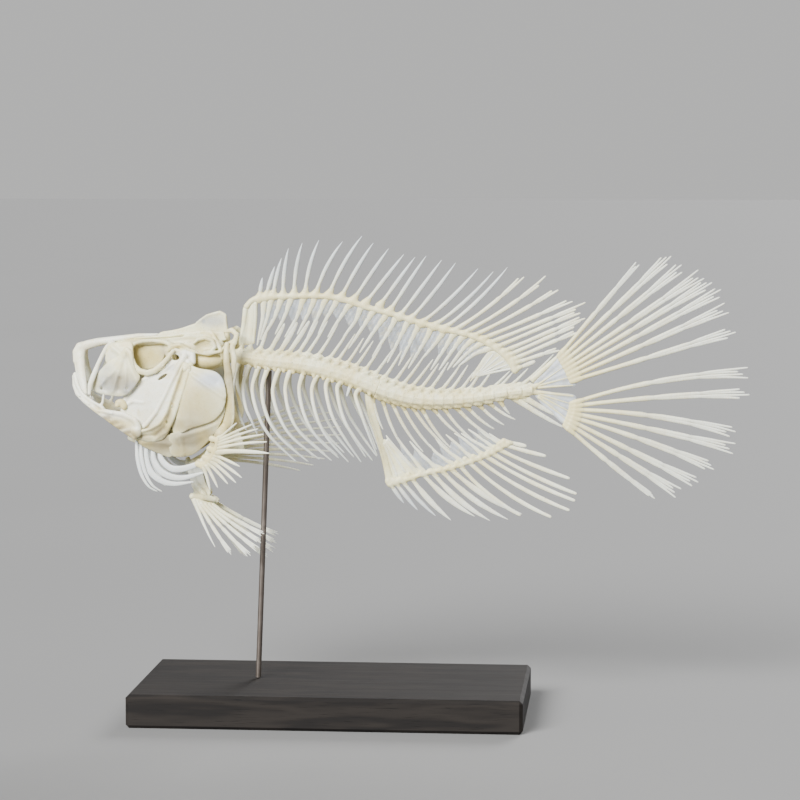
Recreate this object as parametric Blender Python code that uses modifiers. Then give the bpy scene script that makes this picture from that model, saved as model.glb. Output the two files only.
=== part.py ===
"""Skeleton of a tilapia, mouth open and fins spread, held on a thin rod over a plain base.

The fish is drawn from the side in millimetres: x runs back from the tip of the snout, z is the height
over the table and y is the distance from the middle plane, with the fish's left at -y. publish() moves
each bone to the model's own frame, in metres, with its origin on the table under the middle of the fish.
"""

import math

import bmesh
import bpy
from mathutils import Matrix, Vector

MM = 0.001
GAP = 0.35  # clear space between neighbouring bones

# Driving dimensions, in millimetres.
BODY_LENGTH = 244.7  # snout to the tip of the longest tail ray
SIDES = {"left": -1, "right": 1}

BASE_LENGTH = 140.0
BASE_WIDTH = 72.0
BASE_HEIGHT = 12.0
BASE_CENTRE = 95.0
BASE_BEVEL = 1.2
ROD_RADIUS = 1.0
ROD_FOOT = 67.4  # distance behind the snout
ROD_HEAD = 71.8

VERTEBRAE = 30
TRUNK_VERTEBRAE = 15
COLUMN = ((58.9, 129.2), (70.0, 127.6), (83.0, 126.2), (93.5, 124.1), (104.0, 120.8),
          (115.5, 116.4), (125.0, 114.2), (135.0, 113.9), (146.0, 114.7), (156.5, 116.5), (166.3, 117.8))
COLUMN_RADII = (2.4, 2.7, 2.9, 3.1, 3.2, 3.1, 2.9, 2.6, 2.3, 2.1, 1.9)
VERTEBRA_LENGTH = 3.6
WAIST = 0.78  # radius of a vertebra's middle beside that of its ends

NEURAL_LENGTHS = (2.5, 5.5, 12.0, 12.6, 13.0, 14.0, 15.6, 15.0, 13.5, 12.0, 10.5, 7.0, 9.0, 14.5)
NEURAL_LEAN = (56.0, 54.0, 48.0, 44.0, 44.0, 42.0, 42.0, 47.0)
NEURAL_TURN = 12.0  # how much steeper a spine ends than it starts
HAEMAL_LENGTHS = (19.0, 18.5, 17.5, 16.0, 14.5, 12.5, 10.5, 9.0, 17.0)
HAEMAL_LEAN = (-70.0, -68.0, -66.0, -64.0, -60.0, -45.0)
HAEMAL_TURN = 9.0

RIBS = 12
RIB_REACH = (7.0, 12.5, 14.0, 13.6, 13.2, 13.0, 12.5, 5.0)
RIB_DROP = (28.0, 32.0, 34.5, 34.0, 33.5, 32.0, 30.0, 12.0)
RIB_SPREAD = (8.0, 9.6, 10.6, 11.0, 10.8, 10.0, 8.5, 4.5)

# Widths in the side view and depths across it, from a bone's root to its tip.
NEURAL_SECTION = ((1.9, 1.25, 0.65), (1.6, 0.9, 0.6))
HAEMAL_SECTION = ((1.9, 1.2, 0.6), (1.5, 0.9, 0.6))
RIB_SECTION = ((1.3, 1.1, 0.9, 0.7), (1.2, 0.9, 0.8, 0.6))
BEARER_SECTION = ((2.6, 1.5, 0.9, 0.6), (1.4, 0.7, 0.6, 0.5))
DORSAL_SPINE_SECTION = ((1.9, 1.3, 0.5), (1.7, 1.0, 0.5))
ANAL_SPINE_SECTION = ((1.6, 1.2, 1.0, 0.5), (1.5, 1.0, 0.8, 0.5))
ANAL_BEARER_SECTION = ((2.2, 1.0, 0.8, 0.55), (1.3, 0.7, 0.6, 0.5))
TAIL_STEM_SECTION = ((1.3, 1.6, 1.9), (1.7, 1.0, 0.8))
TAIL_TIP_SECTION = ((0.9, 0.5), (0.8, 0.5))
THROAT_RAY_SECTION = ((1.3, 1.5, 1.5, 1.2, 0.6), (1.2, 0.8, 0.7, 0.6))
PECTORAL_SECTION = ((0.9, 0.9, 0.8, 0.5), (1.2, 0.8, 0.7, 0.5))
PELVIC_SECTION = ((1.0, 1.0, 0.9, 0.6), (1.2, 0.8, 0.7, 0.5))

RIDGE_SIZE = 1.9  # height and width of the bar that carries a fin
RAY_FOOT = 0.6  # half the length of a ray's foot along that bar
DORSAL_RIDGE = ((63.7, 147.0), (66.4, 149.6), (72.0, 150.6), (81.0, 150.8), (90.0, 150.9),
                (98.0, 149.9), (108.0, 146.7), (117.0, 144.4), (126.0, 141.6), (135.0, 139.3),
                (144.0, 137.1), (151.0, 134.0), (156.0, 130.4), (158.8, 127.1), (160.2, 124.6))
DORSAL_SPINES = 18
DORSAL_SOFT_RAYS = 11
FIRST_DORSAL_SPINE = 0.052  # share of the ridge before it
LAST_DORSAL_RAY = 0.985
DORSAL_BEARER_TIPS = (0.5, 0.5, 0.52, 0.72, 0.8)  # shares of the spines' length, from the front
DORSAL_SPACING = (2.0, 3.9, 4.4, 4.4, 4.5, 4.4, 4.1, 3.9, 3.4, 2.7, 2.5, 1.7)
SPINE_LENGTHS = (6.0, 13.0, 17.8, 20.0, 22.8, 21.4, 21.8, 23.0, 24.2, 28.0, 30.8)
SPINE_ANGLES = (84.0, 77.0, 82.0, 71.0, 61.0, 56.0, 53.0, 55.0, 52.5, 43.0, 43.5)
SOFT_LENGTHS = (30.5, 33.2, 33.4, 33.0, 35.0, 33.0, 29.5, 26.0, 20.5, 12.5, 4.5)
SOFT_ANGLES = (38.5, 34.0, 29.5, 24.0, 22.0, 22.0, 21.5, 22.5, 20.0, 17.0, 17.0)

ANAL_RIDGE = ((116.0, 83.4), (122.6, 85.0), (129.4, 87.2), (137.4, 89.2), (144.2, 91.4),
              (151.2, 94.6), (158.4, 98.6))
ANAL_SPINES = 3
ANAL_RAYS = 16
ANAL_BEARERS = 10
ANAL_BEARER_TIP = 0.6
ANAL_LENGTHS = (6.3, 10.2, 14.8, 18.0, 20.8, 23.8, 26.4, 27.6, 28.6, 33.4, 35.4, 34.0, 31.0, 25.0, 14.0, 6.2)
ANAL_ANGLES = (-61.0, -54.0, -50.0, -48.0, -43.0, -38.0, -36.0, -34.0, -30.0, -28.0, -24.0, -8.0)

TAIL_RAYS = 8
UPPER_TAIL_BASE = ((176.9, 132.3), (178.7, 129.2), (180.6, 125.8), (182.9, 120.9))
UPPER_TAIL_LENGTHS = (41.0, 51.5, 52.5, 56.3, 58.0, 59.6, 58.6, 58.5)
UPPER_TAIL_ANGLES = (50.0, 44.0, 39.5, 34.5, 32.0, 29.0, 24.5, 17.5)
LOWER_TAIL_BASE = ((182.6, 114.4), (182.4, 110.8), (181.3, 107.2), (179.5, 103.0))
LOWER_TAIL_LENGTHS = (61.5, 61.2, 57.0, 57.6, 53.0, 49.6, 45.2, 39.2)
LOWER_TAIL_ANGLES = (10.0, 4.5, -8.0, -12.0, -19.5, -26.0, -32.0, -38.5)
LOWER_TAIL_TURN = (-17.0, -7.0, -14.0, -3.0, -7.0, 0.0, 0.0, 5.0)

HEAD_LENGTH = 60.0
HEAD_HALF_WIDTHS = (5.0, 8.6, 10.8, 12.4, 13.7, 14.4, 13.8)
HEAD_MIDDLE = 115.0
HEAD_HALF_HEIGHT = 21.0
NARROWING = 0.3  # share of the width that the head loses at its top and bottom
ORBIT = (29.6, 129.8)
ORBIT_RADIUS = 6.4  # to the middle of the ring of bone round the eye socket

THROAT_RAYS = 5
PECTORAL_RAYS = 11
PELVIC_RAYS = 6

IVORY = (0.83, 0.80, 0.70)
YELLOWED = (0.74, 0.66, 0.45)
CLEAR = (0.72, 0.75, 0.76)
STEEL = (0.30, 0.25, 0.20)
BLACK_WOOD = (0.035, 0.033, 0.032)


# Curves

def through(values, share):
    """Value at a share of the way along a smooth curve through evenly spaced values or points."""
    spans = len(values) - 1
    place = min(max(share, 0.0), 1.0) * spans
    index = min(int(place), spans - 1)
    t = place - index
    before, start, end, after = (values[min(max(index + step, 0), spans)] for step in (-1, 0, 1, 2))
    slope = end - before
    bend = 2 * before - 5 * start + 4 * end - after
    twist = 3 * (start - end) + after - before
    return start + 0.5 * t * (slope + t * (bend + t * twist))


def side_points(pairs):
    """(x, z) pairs as points in the middle plane."""
    return [Vector((x, 0.0, z)) for x, z in pairs]


def flank_points(side, places):
    """(x, y, z) places as points on one side of the fish."""
    return [Vector((x, side * y, z)) for x, y, z in places]


def along(points, shares):
    """Points at shares of the length of a smooth curve through the points given."""
    steps = 10 * (len(points) - 1)
    fine = [through(points, step / steps) for step in range(steps + 1)]
    lengths = [0.0]
    for a, b in zip(fine, fine[1:]):
        lengths.append(lengths[-1] + (b - a).length)
    found = []
    for share in shares:
        wanted = min(max(share, 0.0), 1.0) * lengths[-1]
        index = next(i for i in range(1, len(fine)) if lengths[i] >= wanted - 1e-9)
        part = (wanted - lengths[index - 1]) / (lengths[index] - lengths[index - 1])
        found.append(fine[index - 1].lerp(fine[index], part))
    return found


def evenly(count):
    """Shares from 0 to 1, in so many steps."""
    return [step / count for step in range(count + 1)]


def spaced(count, spacing):
    """Shares from 0 to 1 of so many places, whose steps follow the spacing along them."""
    steps = [through(spacing, index / (count - 2)) for index in range(count - 1)]
    shares = [0.0]
    for step in steps:
        shares.append(shares[-1] + step / sum(steps))
    return shares


def arc(start, first, last, length, steps, flare=0.0):
    """Path in a side view whose angle over the horizontal turns from first to last, leaning out by flare."""
    path = [start.copy()]
    out = math.sin(math.radians(flare))
    back = math.cos(math.radians(flare))
    for step in range(steps):
        angle = math.radians(first + (last - first) * (step + 0.5) / steps)
        heading = Vector((back * math.cos(angle), out, back * math.sin(angle)))
        path.append(path[-1] + heading * length / steps)
    return path


def headings(path):
    """Direction of a path at each of its points."""
    ends = [path[0], *path, path[-1]]
    return [(b - a).normalized() for a, b in zip(ends, ends[2:])]


# Shapes

def corners(centre, heading, wide, deep, across):
    """Oblong ring round a point: wide in the plane of the curve, deep towards across."""
    v = (across - heading * across.dot(heading)).normalized()
    u = v.cross(heading)
    return [centre + u * a * wide / 2 + v * b * deep / 2 for a, b in ((-1, -1), (1, -1), (1, 1), (-1, 1))]


def oval(centre, heading, wide, deep, across, sides):
    """Many-sided ring round a point."""
    v = (across - heading * across.dot(heading)).normalized()
    u = v.cross(heading)
    turns = [2 * math.pi * (side + 0.5) / sides for side in range(sides)]
    return [centre + u * math.cos(turn) * wide / 2 + v * math.sin(turn) * deep / 2 for turn in turns]


def loft(bm, rings):
    """Skin a row of rings and close its ends; gives the side faces, a list for each span."""
    rows = [[bm.verts.new(corner) for corner in ring] for ring in rings]
    count = len(rows[0])
    spans = []
    for a, b in zip(rows, rows[1:]):
        around = [(i, (i + 1) % count) for i in range(count)]
        spans.append([bm.faces.new((a[i], a[j], b[j], b[i])) for i, j in around])
    ends = [bm.faces.new(rows[0]), bm.faces.new(rows[-1])]
    bmesh.ops.recalc_face_normals(bm, faces=bm.faces[:])
    return spans, ends


def grow(bm, face, path, wide, deep, across=Vector((0, 1, 0))):
    """Draw a four-sided face out along a path that starts on it; wide and deep run from root to tip."""
    ways = headings(path)
    last = len(path) - 1
    for index in range(1, last + 1):
        share = index / last
        ring = corners(path[index], ways[index], through(wide, share), through(deep, share), across)
        face = bmesh.ops.extrude_discrete_faces(bm, faces=[face])["faces"][0]
        verts = face.verts[:]
        turns = [sum((verts[i].co - ring[(i + turn) % 4]).length for i in range(4)) for turn in range(4)]
        best = turns.index(min(turns))
        for i, vert in enumerate(verts):
            vert.co = ring[(i + best) % 4]
    return face


def fork(bm, face, heading):
    """Part the end of a ray in two, one face above the other."""
    edges = sorted(face.edges, key=lambda e: abs((e.verts[0].co - e.verts[1].co).normalized().y))[:2]
    middles = [bmesh.utils.edge_split(edge, edge.verts[0], 0.5)[1] for edge in edges]
    other, _ = bmesh.utils.face_split(face, middles[0], middles[1])
    up = Vector((0, 1, 0)).cross(heading)
    halves = sorted((face, other), key=lambda part: part.calc_center_median().dot(up))
    return halves


# Objects

def new_collection(name):
    collection = bpy.data.collections.new(name)
    bpy.context.scene.collection.children.link(collection)
    return collection


def clear_scene():
    for thing in list(bpy.data.objects):
        bpy.data.objects.remove(thing, do_unlink=True)


def material(name, colour, roughness, metallic=0.0):
    made = bpy.data.materials.get(name)
    if made is None:
        made = bpy.data.materials.new(name)
        made.use_nodes = True
        shader = made.node_tree.nodes["Principled BSDF"]
        shader.inputs["Base Color"].default_value = (*colour, 1.0)
        shader.inputs["Roughness"].default_value = roughness
        shader.inputs["Metallic"].default_value = metallic
    return made


def publish(name, bm, look, collection, smooth=True):
    """Turn a bone drawn in millimetres from the snout into an object in metres."""
    bmesh.ops.translate(bm, verts=bm.verts[:], vec=(-BODY_LENGTH / 2, 0.0, 0.0))
    bmesh.ops.scale(bm, verts=bm.verts[:], vec=(MM, MM, MM))
    mesh = bpy.data.meshes.new(name)
    bm.to_mesh(mesh)
    bm.free()
    thing = bpy.data.objects.new(name, mesh)
    collection.objects.link(thing)
    mesh.materials.append(look)
    if smooth:
        mesh.shade_smooth()
        mesh.set_sharp_from_angle(angle=math.radians(40))
    return thing


def solid(name, bm, look, collection):
    bmesh.ops.recalc_face_normals(bm, faces=bm.faces[:])
    return publish(name, bm, look, collection)


def plate(name, grid, thickness, look, collection):
    """Thin bone: a grid of points as an open surface, thickened evenly to both sides."""
    bm = bmesh.new()
    rows = [[bm.verts.new(point) for point in row] for row in grid]
    for a, b in zip(rows, rows[1:]):
        for i in range(len(a) - 1):
            bm.faces.new((a[i], a[i + 1], b[i + 1], b[i]))
    thing = publish(name, bm, look, collection)
    wall = thing.modifiers.new("thickness", "SOLIDIFY")
    wall.thickness = thickness * MM
    wall.offset = 0.0
    return thing


def rod_bone(bm, path, wide, deep, sides=6, across=Vector((0, 1, 0))):
    """Bar of bone along a smooth path; wide and deep run from its start to its end."""
    ways = headings(path)
    last = len(path) - 1
    rings = [oval(point, ways[i], through(wide, i / last), through(deep, i / last), across, sides)
             for i, point in enumerate(path)]
    return loft(bm, rings)


# Backbone and ribs

def column_point(place):
    """Middle of the backbone, place vertebrae behind the skull."""
    return along(side_points(COLUMN), [place / VERTEBRAE])[0]


def column_heading(place):
    return (column_point(place + 0.3) - column_point(place - 0.3)).normalized()


def column_radius(place):
    return through(COLUMN_RADII, place / VERTEBRAE)


def neural_spine(index):
    """Path of the spine over a vertebra, from its root on the backbone."""
    share = index / (VERTEBRAE - 1)
    place = index + 0.3
    root = column_point(place) + Vector((0, 0, 0.92 * column_radius(place)))
    first = through(NEURAL_LEAN, share)
    turn = NEURAL_TURN if index < VERTEBRAE - 3 else 0.0
    return arc(root, first, first + turn, through(NEURAL_LENGTHS, share), 2)


def haemal_spine(index):
    """Path of the spine under a tail vertebra, counted from the first that has one."""
    share = index / (VERTEBRAE - TRUNK_VERTEBRAE - 1)
    place = TRUNK_VERTEBRAE + index + 0.3
    root = column_point(place) - Vector((0, 0, 0.92 * column_radius(place)))
    first = through(HAEMAL_LEAN, share)
    return arc(root, first, first + HAEMAL_TURN, through(HAEMAL_LENGTHS, share), 2)


def hourglass(bm, first, last, section):
    """Row of vertebrae pinched at their waists; section is a ring of (y, z) shares of the radius."""
    rings = []
    for step in range(2 * (last - first) + 1):
        place = first + step / 2
        if step == 0:
            place += GAP / VERTEBRA_LENGTH
        radius = column_radius(place) * (WAIST if step % 2 else 1.0)
        heading = column_heading(place)
        up = Vector((-heading.z, 0.0, heading.x))
        centre = column_point(place)
        rings.append([centre + Vector((0, 1, 0)) * (y * radius + dy) + up * (z * radius + dz)
                      for y, z, dy, dz in section])
    return loft(bm, rings)[0]


def facing(faces, way):
    """The face that looks most nearly that way."""
    return max(faces, key=lambda face: face.normal.dot(Vector(way)))


def trunk_vertebrae(look, collection):
    """Upper half of the trunk's vertebrae, with the spines over them."""
    half = GAP / 2
    section = [(1.0, 0.0, 0.0, half), (0.78, 0.62, 0.0, 0.0), (0.3, 0.97, 0.0, 0.0),
               (-0.3, 0.97, 0.0, 0.0), (-0.78, 0.62, 0.0, 0.0), (-1.0, 0.0, 0.0, half)]
    bm = bmesh.new()
    spans = hourglass(bm, 0, TRUNK_VERTEBRAE, section)
    for index in range(TRUNK_VERTEBRAE):
        root = facing(spans[2 * index], (0, 0, 1))
        grow(bm, root, neural_spine(index), *NEURAL_SECTION)
    return solid("trunk_vertebrae", bm, look, collection)


def rib(index, side):
    """Path of a rib, from the side of its vertebra out round the belly."""
    share = index / (RIBS - 1)
    place = index + 0.4
    radius = column_radius(place)
    root = column_point(place) + Vector((0.0, side * radius * 0.8, -0.45 * radius))
    reach = through(RIB_REACH, share)
    drop = through(RIB_DROP, share)
    spread = through(RIB_SPREAD, share)
    bend = (Vector((-0.12 * reach, 0.62 * spread, -0.17 * drop)),
            Vector((-0.04 * reach, 0.96 * spread, -0.42 * drop)),
            Vector((0.38 * reach, spread, -0.72 * drop)),
            Vector((reach, 0.8 * spread, -drop)))
    points = [root] + [Vector((root.x + step.x, side * step.y, root.z + step.z)) for step in bend]
    return along(points, evenly(3))


def rib_side(name, side, look, collection):
    """One side of the rib cage: the ribs and the lower quarter of the vertebrae that carries them."""
    half = GAP / 2
    section = [(0.0, 0.0, side * half, -half), (side, 0.0, 0.0, -half),
               (side * 0.7, -0.72, 0.0, 0.0), (0.0, -1.0, side * half, 0.0)]
    bm = bmesh.new()
    spans = hourglass(bm, 0, TRUNK_VERTEBRAE, section)
    for index in range(RIBS):
        root = facing(spans[2 * index], (0, side, -0.2))
        grow(bm, root, rib(index, side), *RIB_SECTION, Vector((0, side, 0.3)))
    return solid(name, bm, look, collection)


def caudal_vertebrae(look, collection):
    """The tail's vertebrae with the spines over and under them."""
    turns = [math.radians(60 * side) for side in range(6)]
    section = [(math.cos(turn) * 1.08, math.sin(turn) * 1.08, 0.0, 0.0) for turn in turns]
    bm = bmesh.new()
    spans = hourglass(bm, TRUNK_VERTEBRAE, VERTEBRAE, section)
    for index in range(TRUNK_VERTEBRAE, VERTEBRAE):
        span = spans[2 * (index - TRUNK_VERTEBRAE)]
        top = facing(span, (0, 0, 1))
        under = facing(span, (0, 0, -1))
        grow(bm, top, neural_spine(index), *NEURAL_SECTION)
        grow(bm, under, haemal_spine(index - TRUNK_VERTEBRAE), *HAEMAL_SECTION)
    return solid("caudal_vertebrae", bm, look, collection)


# Fins on the back and belly

def ridge(bm, points, stations):
    """Bar that carries a fin. Each station is a ray's place along it; gives the faces over and under each."""
    total = sum((b - a).length for a, b in zip(points, points[1:]))
    shares = []
    for station in stations:
        shares += [station - RAY_FOOT / total, station + RAY_FOOT / total]
    tips = [0.0, 1.0] if min(shares) > 0 else [1.0]
    shares = sorted(set(tips + [min(max(share, 0.0), 1.0) for share in shares]))
    centres = along(points, shares)
    ways = headings(centres)
    rings = [corners(centre, way, RIDGE_SIZE, RIDGE_SIZE, Vector((0, 1, 0)))
             for centre, way in zip(centres, ways)]
    spans, ends = loft(bm, rings)
    feet = [min(range(len(spans)), key=lambda i: abs(shares[i] + shares[i + 1] - 2 * station))
            for station in stations]
    return [(facing(spans[i], (0, 0, 1)), facing(spans[i], (0, 0, -1))) for i in feet], ends, centres


def between(spines, share):
    """Point midway between two neighbouring spines, at a share of their length."""
    a, b = (along(path, [share])[0] for path in spines)
    return (a + b) / 2


def bearer(root, spines, tip):
    """Path of the slender bone from a fin's ridge in between two spines, to a share of their length."""
    return [root, between(spines, 0.97), between(spines, tip)]


def root_of(face):
    return face.calc_center_median()


def dorsal_stations():
    """Places of all the dorsal fin's rays along its ridge."""
    shares = spaced(DORSAL_SPINES + DORSAL_SOFT_RAYS, DORSAL_SPACING)
    return [FIRST_DORSAL_SPINE + (LAST_DORSAL_RAY - FIRST_DORSAL_SPINE) * share for share in shares]


def dorsal_gap(ray):
    """Number of the gap between neural spines that a ray's bearer runs into, or None where it has none."""
    if ray < 12:
        return None if ray % 4 == 1 else 1 + ray - (ray + 2) // 4
    if ray < 22:
        return ray - 2
    return {22: 20, 23: 21, 24: 22}.get(ray)


def dorsal_part(name, rays, points, stations, look, collection, soft):
    """A length of the dorsal fin: its ridge, its spines or rays over it and their bearers under it."""
    bm = bmesh.new()
    feet, ends, centres = ridge(bm, points, stations)
    for number, (ray, (top, under)) in enumerate(zip(rays, feet)):
        share = number / (len(rays) - 1)
        if soft:
            angle = through(SOFT_ANGLES, share)
            path = arc(root_of(top), angle, angle, through(SOFT_LENGTHS, share), 3)
            soft_ray(bm, top, path, 1.25, 0.7)
        else:
            angle = through(SPINE_ANGLES, share)
            turn = 9.0 * (1 - share)
            path = arc(root_of(top), angle + turn, angle - turn, through(SPINE_LENGTHS, share), 2)
            grow(bm, top, path, *DORSAL_SPINE_SECTION)
        gap = dorsal_gap(ray)
        if gap is not None:
            tip = through(DORSAL_BEARER_TIPS, ray / (DORSAL_SPINES + DORSAL_SOFT_RAYS))
            path = bearer(root_of(under), (neural_spine(gap), neural_spine(gap + 1)), tip)
            grow(bm, under, path, *BEARER_SECTION)
    if not soft:
        front_bearer(bm, ends, centres)
    return solid(name, bm, look, collection)


def front_bearer(bm, ends, centres):
    """Blade before the first dorsal spine, from the front of the ridge down to the backbone."""
    front = min(ends, key=lambda face: root_of(face).x)
    foot = between((neural_spine(0), neural_spine(1)), 0.35)
    start = centres[0]
    path = [start, start + Vector((-1.1, 0, -2.4)), start.lerp(foot, 0.5), foot + Vector((0, 0, 1.4))]
    grow(bm, front, path, (2.0, 1.6, 1.0), (1.4, 0.8, 0.7))


def soft_ray(bm, face, path, wide, deep):
    """Ray that parts in two in its outer half."""
    ways = headings(path)
    stem = path[:-1]
    end = grow(bm, face, stem, (wide * 1.3, wide, wide * 1.15), (deep * 1.6, deep * 1.2, deep))
    reach = (path[-1] - path[-2]).length
    up = Vector((0, 1, 0)).cross(ways[-1])
    for part, sign in zip(fork(bm, end, ways[-1]), (-1, 1)):
        root = root_of(part)
        tip = root + ways[-1] * reach + up * sign * 0.055 * reach
        grow(bm, part, [root, tip], (wide * 0.5, 0.5), (deep, 0.5))


def dorsal_fin(look, collection):
    points = side_points(DORSAL_RIDGE)
    stations = dorsal_stations()
    split = (stations[DORSAL_SPINES - 1] + stations[DORSAL_SPINES]) / 2
    total = sum((b - a).length for a, b in zip(points, points[1:]))
    slit = GAP / 2 / total
    front = along(points, [share * (split - slit) for share in evenly(16)])
    rear = along(points, [split + slit + share * (1 - split - slit) for share in evenly(9)])
    front_stations = [station / (split - slit) for station in stations[:DORSAL_SPINES]]
    rear_stations = [(station - split - slit) / (1 - split - slit) for station in stations[DORSAL_SPINES:]]
    rays = list(range(DORSAL_SPINES + DORSAL_SOFT_RAYS))
    dorsal_part("dorsal_fin_spiny", rays[:DORSAL_SPINES], front, front_stations, look, collection, False)
    dorsal_part("dorsal_fin_soft", rays[DORSAL_SPINES:], rear, rear_stations, look, collection, True)


def anal_fin(look, collection):
    """The anal fin: ridge, spines and soft rays, their bearers, and the stout first bearer."""
    points = side_points(ANAL_RIDGE)
    stations = [0.03 + 0.95 * share for share in evenly(ANAL_RAYS - 1)]
    bm = bmesh.new()
    feet, ends, centres = ridge(bm, points, stations)
    for ray, (top, under) in enumerate(feet):
        share = ray / (ANAL_RAYS - 1)
        angle = through(ANAL_ANGLES, share)
        length = through(ANAL_LENGTHS, share)
        if ray < ANAL_SPINES:
            path = arc(root_of(under), angle - 6, angle + 6, length, 3)
            grow(bm, under, path, *ANAL_SPINE_SECTION)
        else:
            path = arc(root_of(under), angle - 4, angle + 4, length, 3)
            soft_ray(bm, under, path, 1.15, 0.7)
        if ANAL_SPINES <= ray < ANAL_SPINES + ANAL_BEARERS:
            spines = (haemal_spine(ray - ANAL_SPINES), haemal_spine(ray - ANAL_SPINES + 1))
            grow(bm, top, bearer(root_of(top), spines, ANAL_BEARER_TIP), *ANAL_BEARER_SECTION)
    front = min(ends, key=lambda face: root_of(face).x)
    start = centres[0]
    stout = side_points(((114.6, 87.0), (112.2, 94.0), (110.0, 101.5), (108.2, 108.0), (107.6, 113.2)))
    grow(bm, front, [start] + stout, (2.0, 2.1, 2.0, 2.4, 3.2, 2.6), (1.8, 1.4, 1.2, 1.2, 1.2, 0.9))
    return solid("anal_fin", bm, look, collection)


# Tail

def fan_plate(name, root, rear, look, collection):
    """Flat plate that fans from the end of the backbone to the feet of the tail rays."""
    grid = []
    for share in evenly(3):
        start = root[0].lerp(root[1], share)
        end = through(rear, share)
        grid.append([start.lerp(end, step) for step in evenly(2)])
    return plate(name, grid, 1.2, look, collection)


def tail_rays(name, base, lengths, angles, turns, look, collection):
    """Half of the tail fin: a band of knobs across the plate's rim, with the rays on it."""
    points = side_points(base)
    centres = along(points, evenly(TAIL_RAYS))
    ways = headings(centres)
    bm = bmesh.new()
    rings = [corners(centre, way, 1.8, 2.0, Vector((0, 1, 0))) for centre, way in zip(centres, ways)]
    spans, _ = loft(bm, rings)
    for ray in range(TAIL_RAYS):
        root = facing(spans[ray], (1, 0, 0))
        length = through(lengths, ray / (TAIL_RAYS - 1))
        angle = through(angles, ray / (TAIL_RAYS - 1))
        turn = through(turns, ray / (TAIL_RAYS - 1)) / 2
        path = arc(root_of(root), angle - turn, angle + turn, length, 3)
        end = grow(bm, root, path[:-1], *TAIL_STEM_SECTION)
        heading = (path[-1] - path[-2]).normalized()
        up = Vector((0, 1, 0)).cross(heading)
        for part, sign in zip(fork(bm, end, heading), (-1, 1)):
            start = root_of(part)
            tip = start + heading * length / 3 + up * sign * 1.0
            grow(bm, part, [start, tip], *TAIL_TIP_SECTION)
    return solid(name, bm, look, collection)


def tail(look, clear, collection):
    upper_root = side_points(((168.0, 120.3), (167.8, 118.4)))
    upper_rear = side_points(((176.4, 130.4), (179.0, 125.2), (181.2, 119.4)))
    fan_plate("hypural_upper", upper_root, upper_rear, clear, collection)
    lower_root = side_points(((167.8, 117.6), (168.0, 115.8)))
    lower_rear = side_points(((180.9, 115.2), (180.6, 110.6), (178.9, 106.0)))
    fan_plate("hypural_lower", lower_root, lower_rear, clear, collection)
    still = (0.0, 0.0, 0.0, 0.0)
    tail_rays("caudal_rays_upper", UPPER_TAIL_BASE, UPPER_TAIL_LENGTHS, UPPER_TAIL_ANGLES, still,
              look, collection)
    tail_rays("caudal_rays_lower", LOWER_TAIL_BASE, LOWER_TAIL_LENGTHS, LOWER_TAIL_ANGLES, LOWER_TAIL_TURN,
              look, collection)


# Head

def cheek(x, z, depth=0.0):
    """Distance of the head's side from the middle plane, depth millimetres under its surface."""
    widest = through(HEAD_HALF_WIDTHS, x / HEAD_LENGTH)
    rise = (z - HEAD_MIDDLE) / HEAD_HALF_HEIGHT
    return widest * (1 - NARROWING * rise * rise) - depth


def cheek_plate(name, side, front, rear, rows, columns, depth, thickness, look, collection):
    """Plate on the side of the head, between a front and a rear edge given as (x, z) pairs from the top."""
    front = side_points(front)
    rear = side_points(rear)
    grid = []
    for share in evenly(rows):
        start = through(front, share)
        end = through(rear, share)
        row = [start.lerp(end, step) for step in evenly(columns)]
        grid.append([Vector((p.x, side * cheek(p.x, p.z, depth), p.z)) for p in row])
    return plate(name, grid, thickness, look, collection)


def add_piece(name, bm, cutters):
    """Shape that is joined to, or cut from, another and isn't shown itself."""
    bmesh.ops.recalc_face_normals(bm, faces=bm.faces[:])
    piece = publish(name, bm, material("bone", IVORY, 0.5), cutters)
    piece.hide_render = True
    piece.display_type = "WIRE"
    return piece


def skull_section(x, middle, half_height, half_width, sides=10):
    centre = Vector((x, 0, middle))
    return oval(centre, Vector((1, 0, 0)), 2 * half_height, 2 * half_width, Vector((0, 1, 0)), sides)


def upright(x, low, top, thick):
    """Ring of a thin wall that stands in the middle plane."""
    return corners(Vector((x, 0, (low + top) / 2)), Vector((1, 0, 0)), top - low, thick, Vector((0, 1, 0)))


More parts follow.
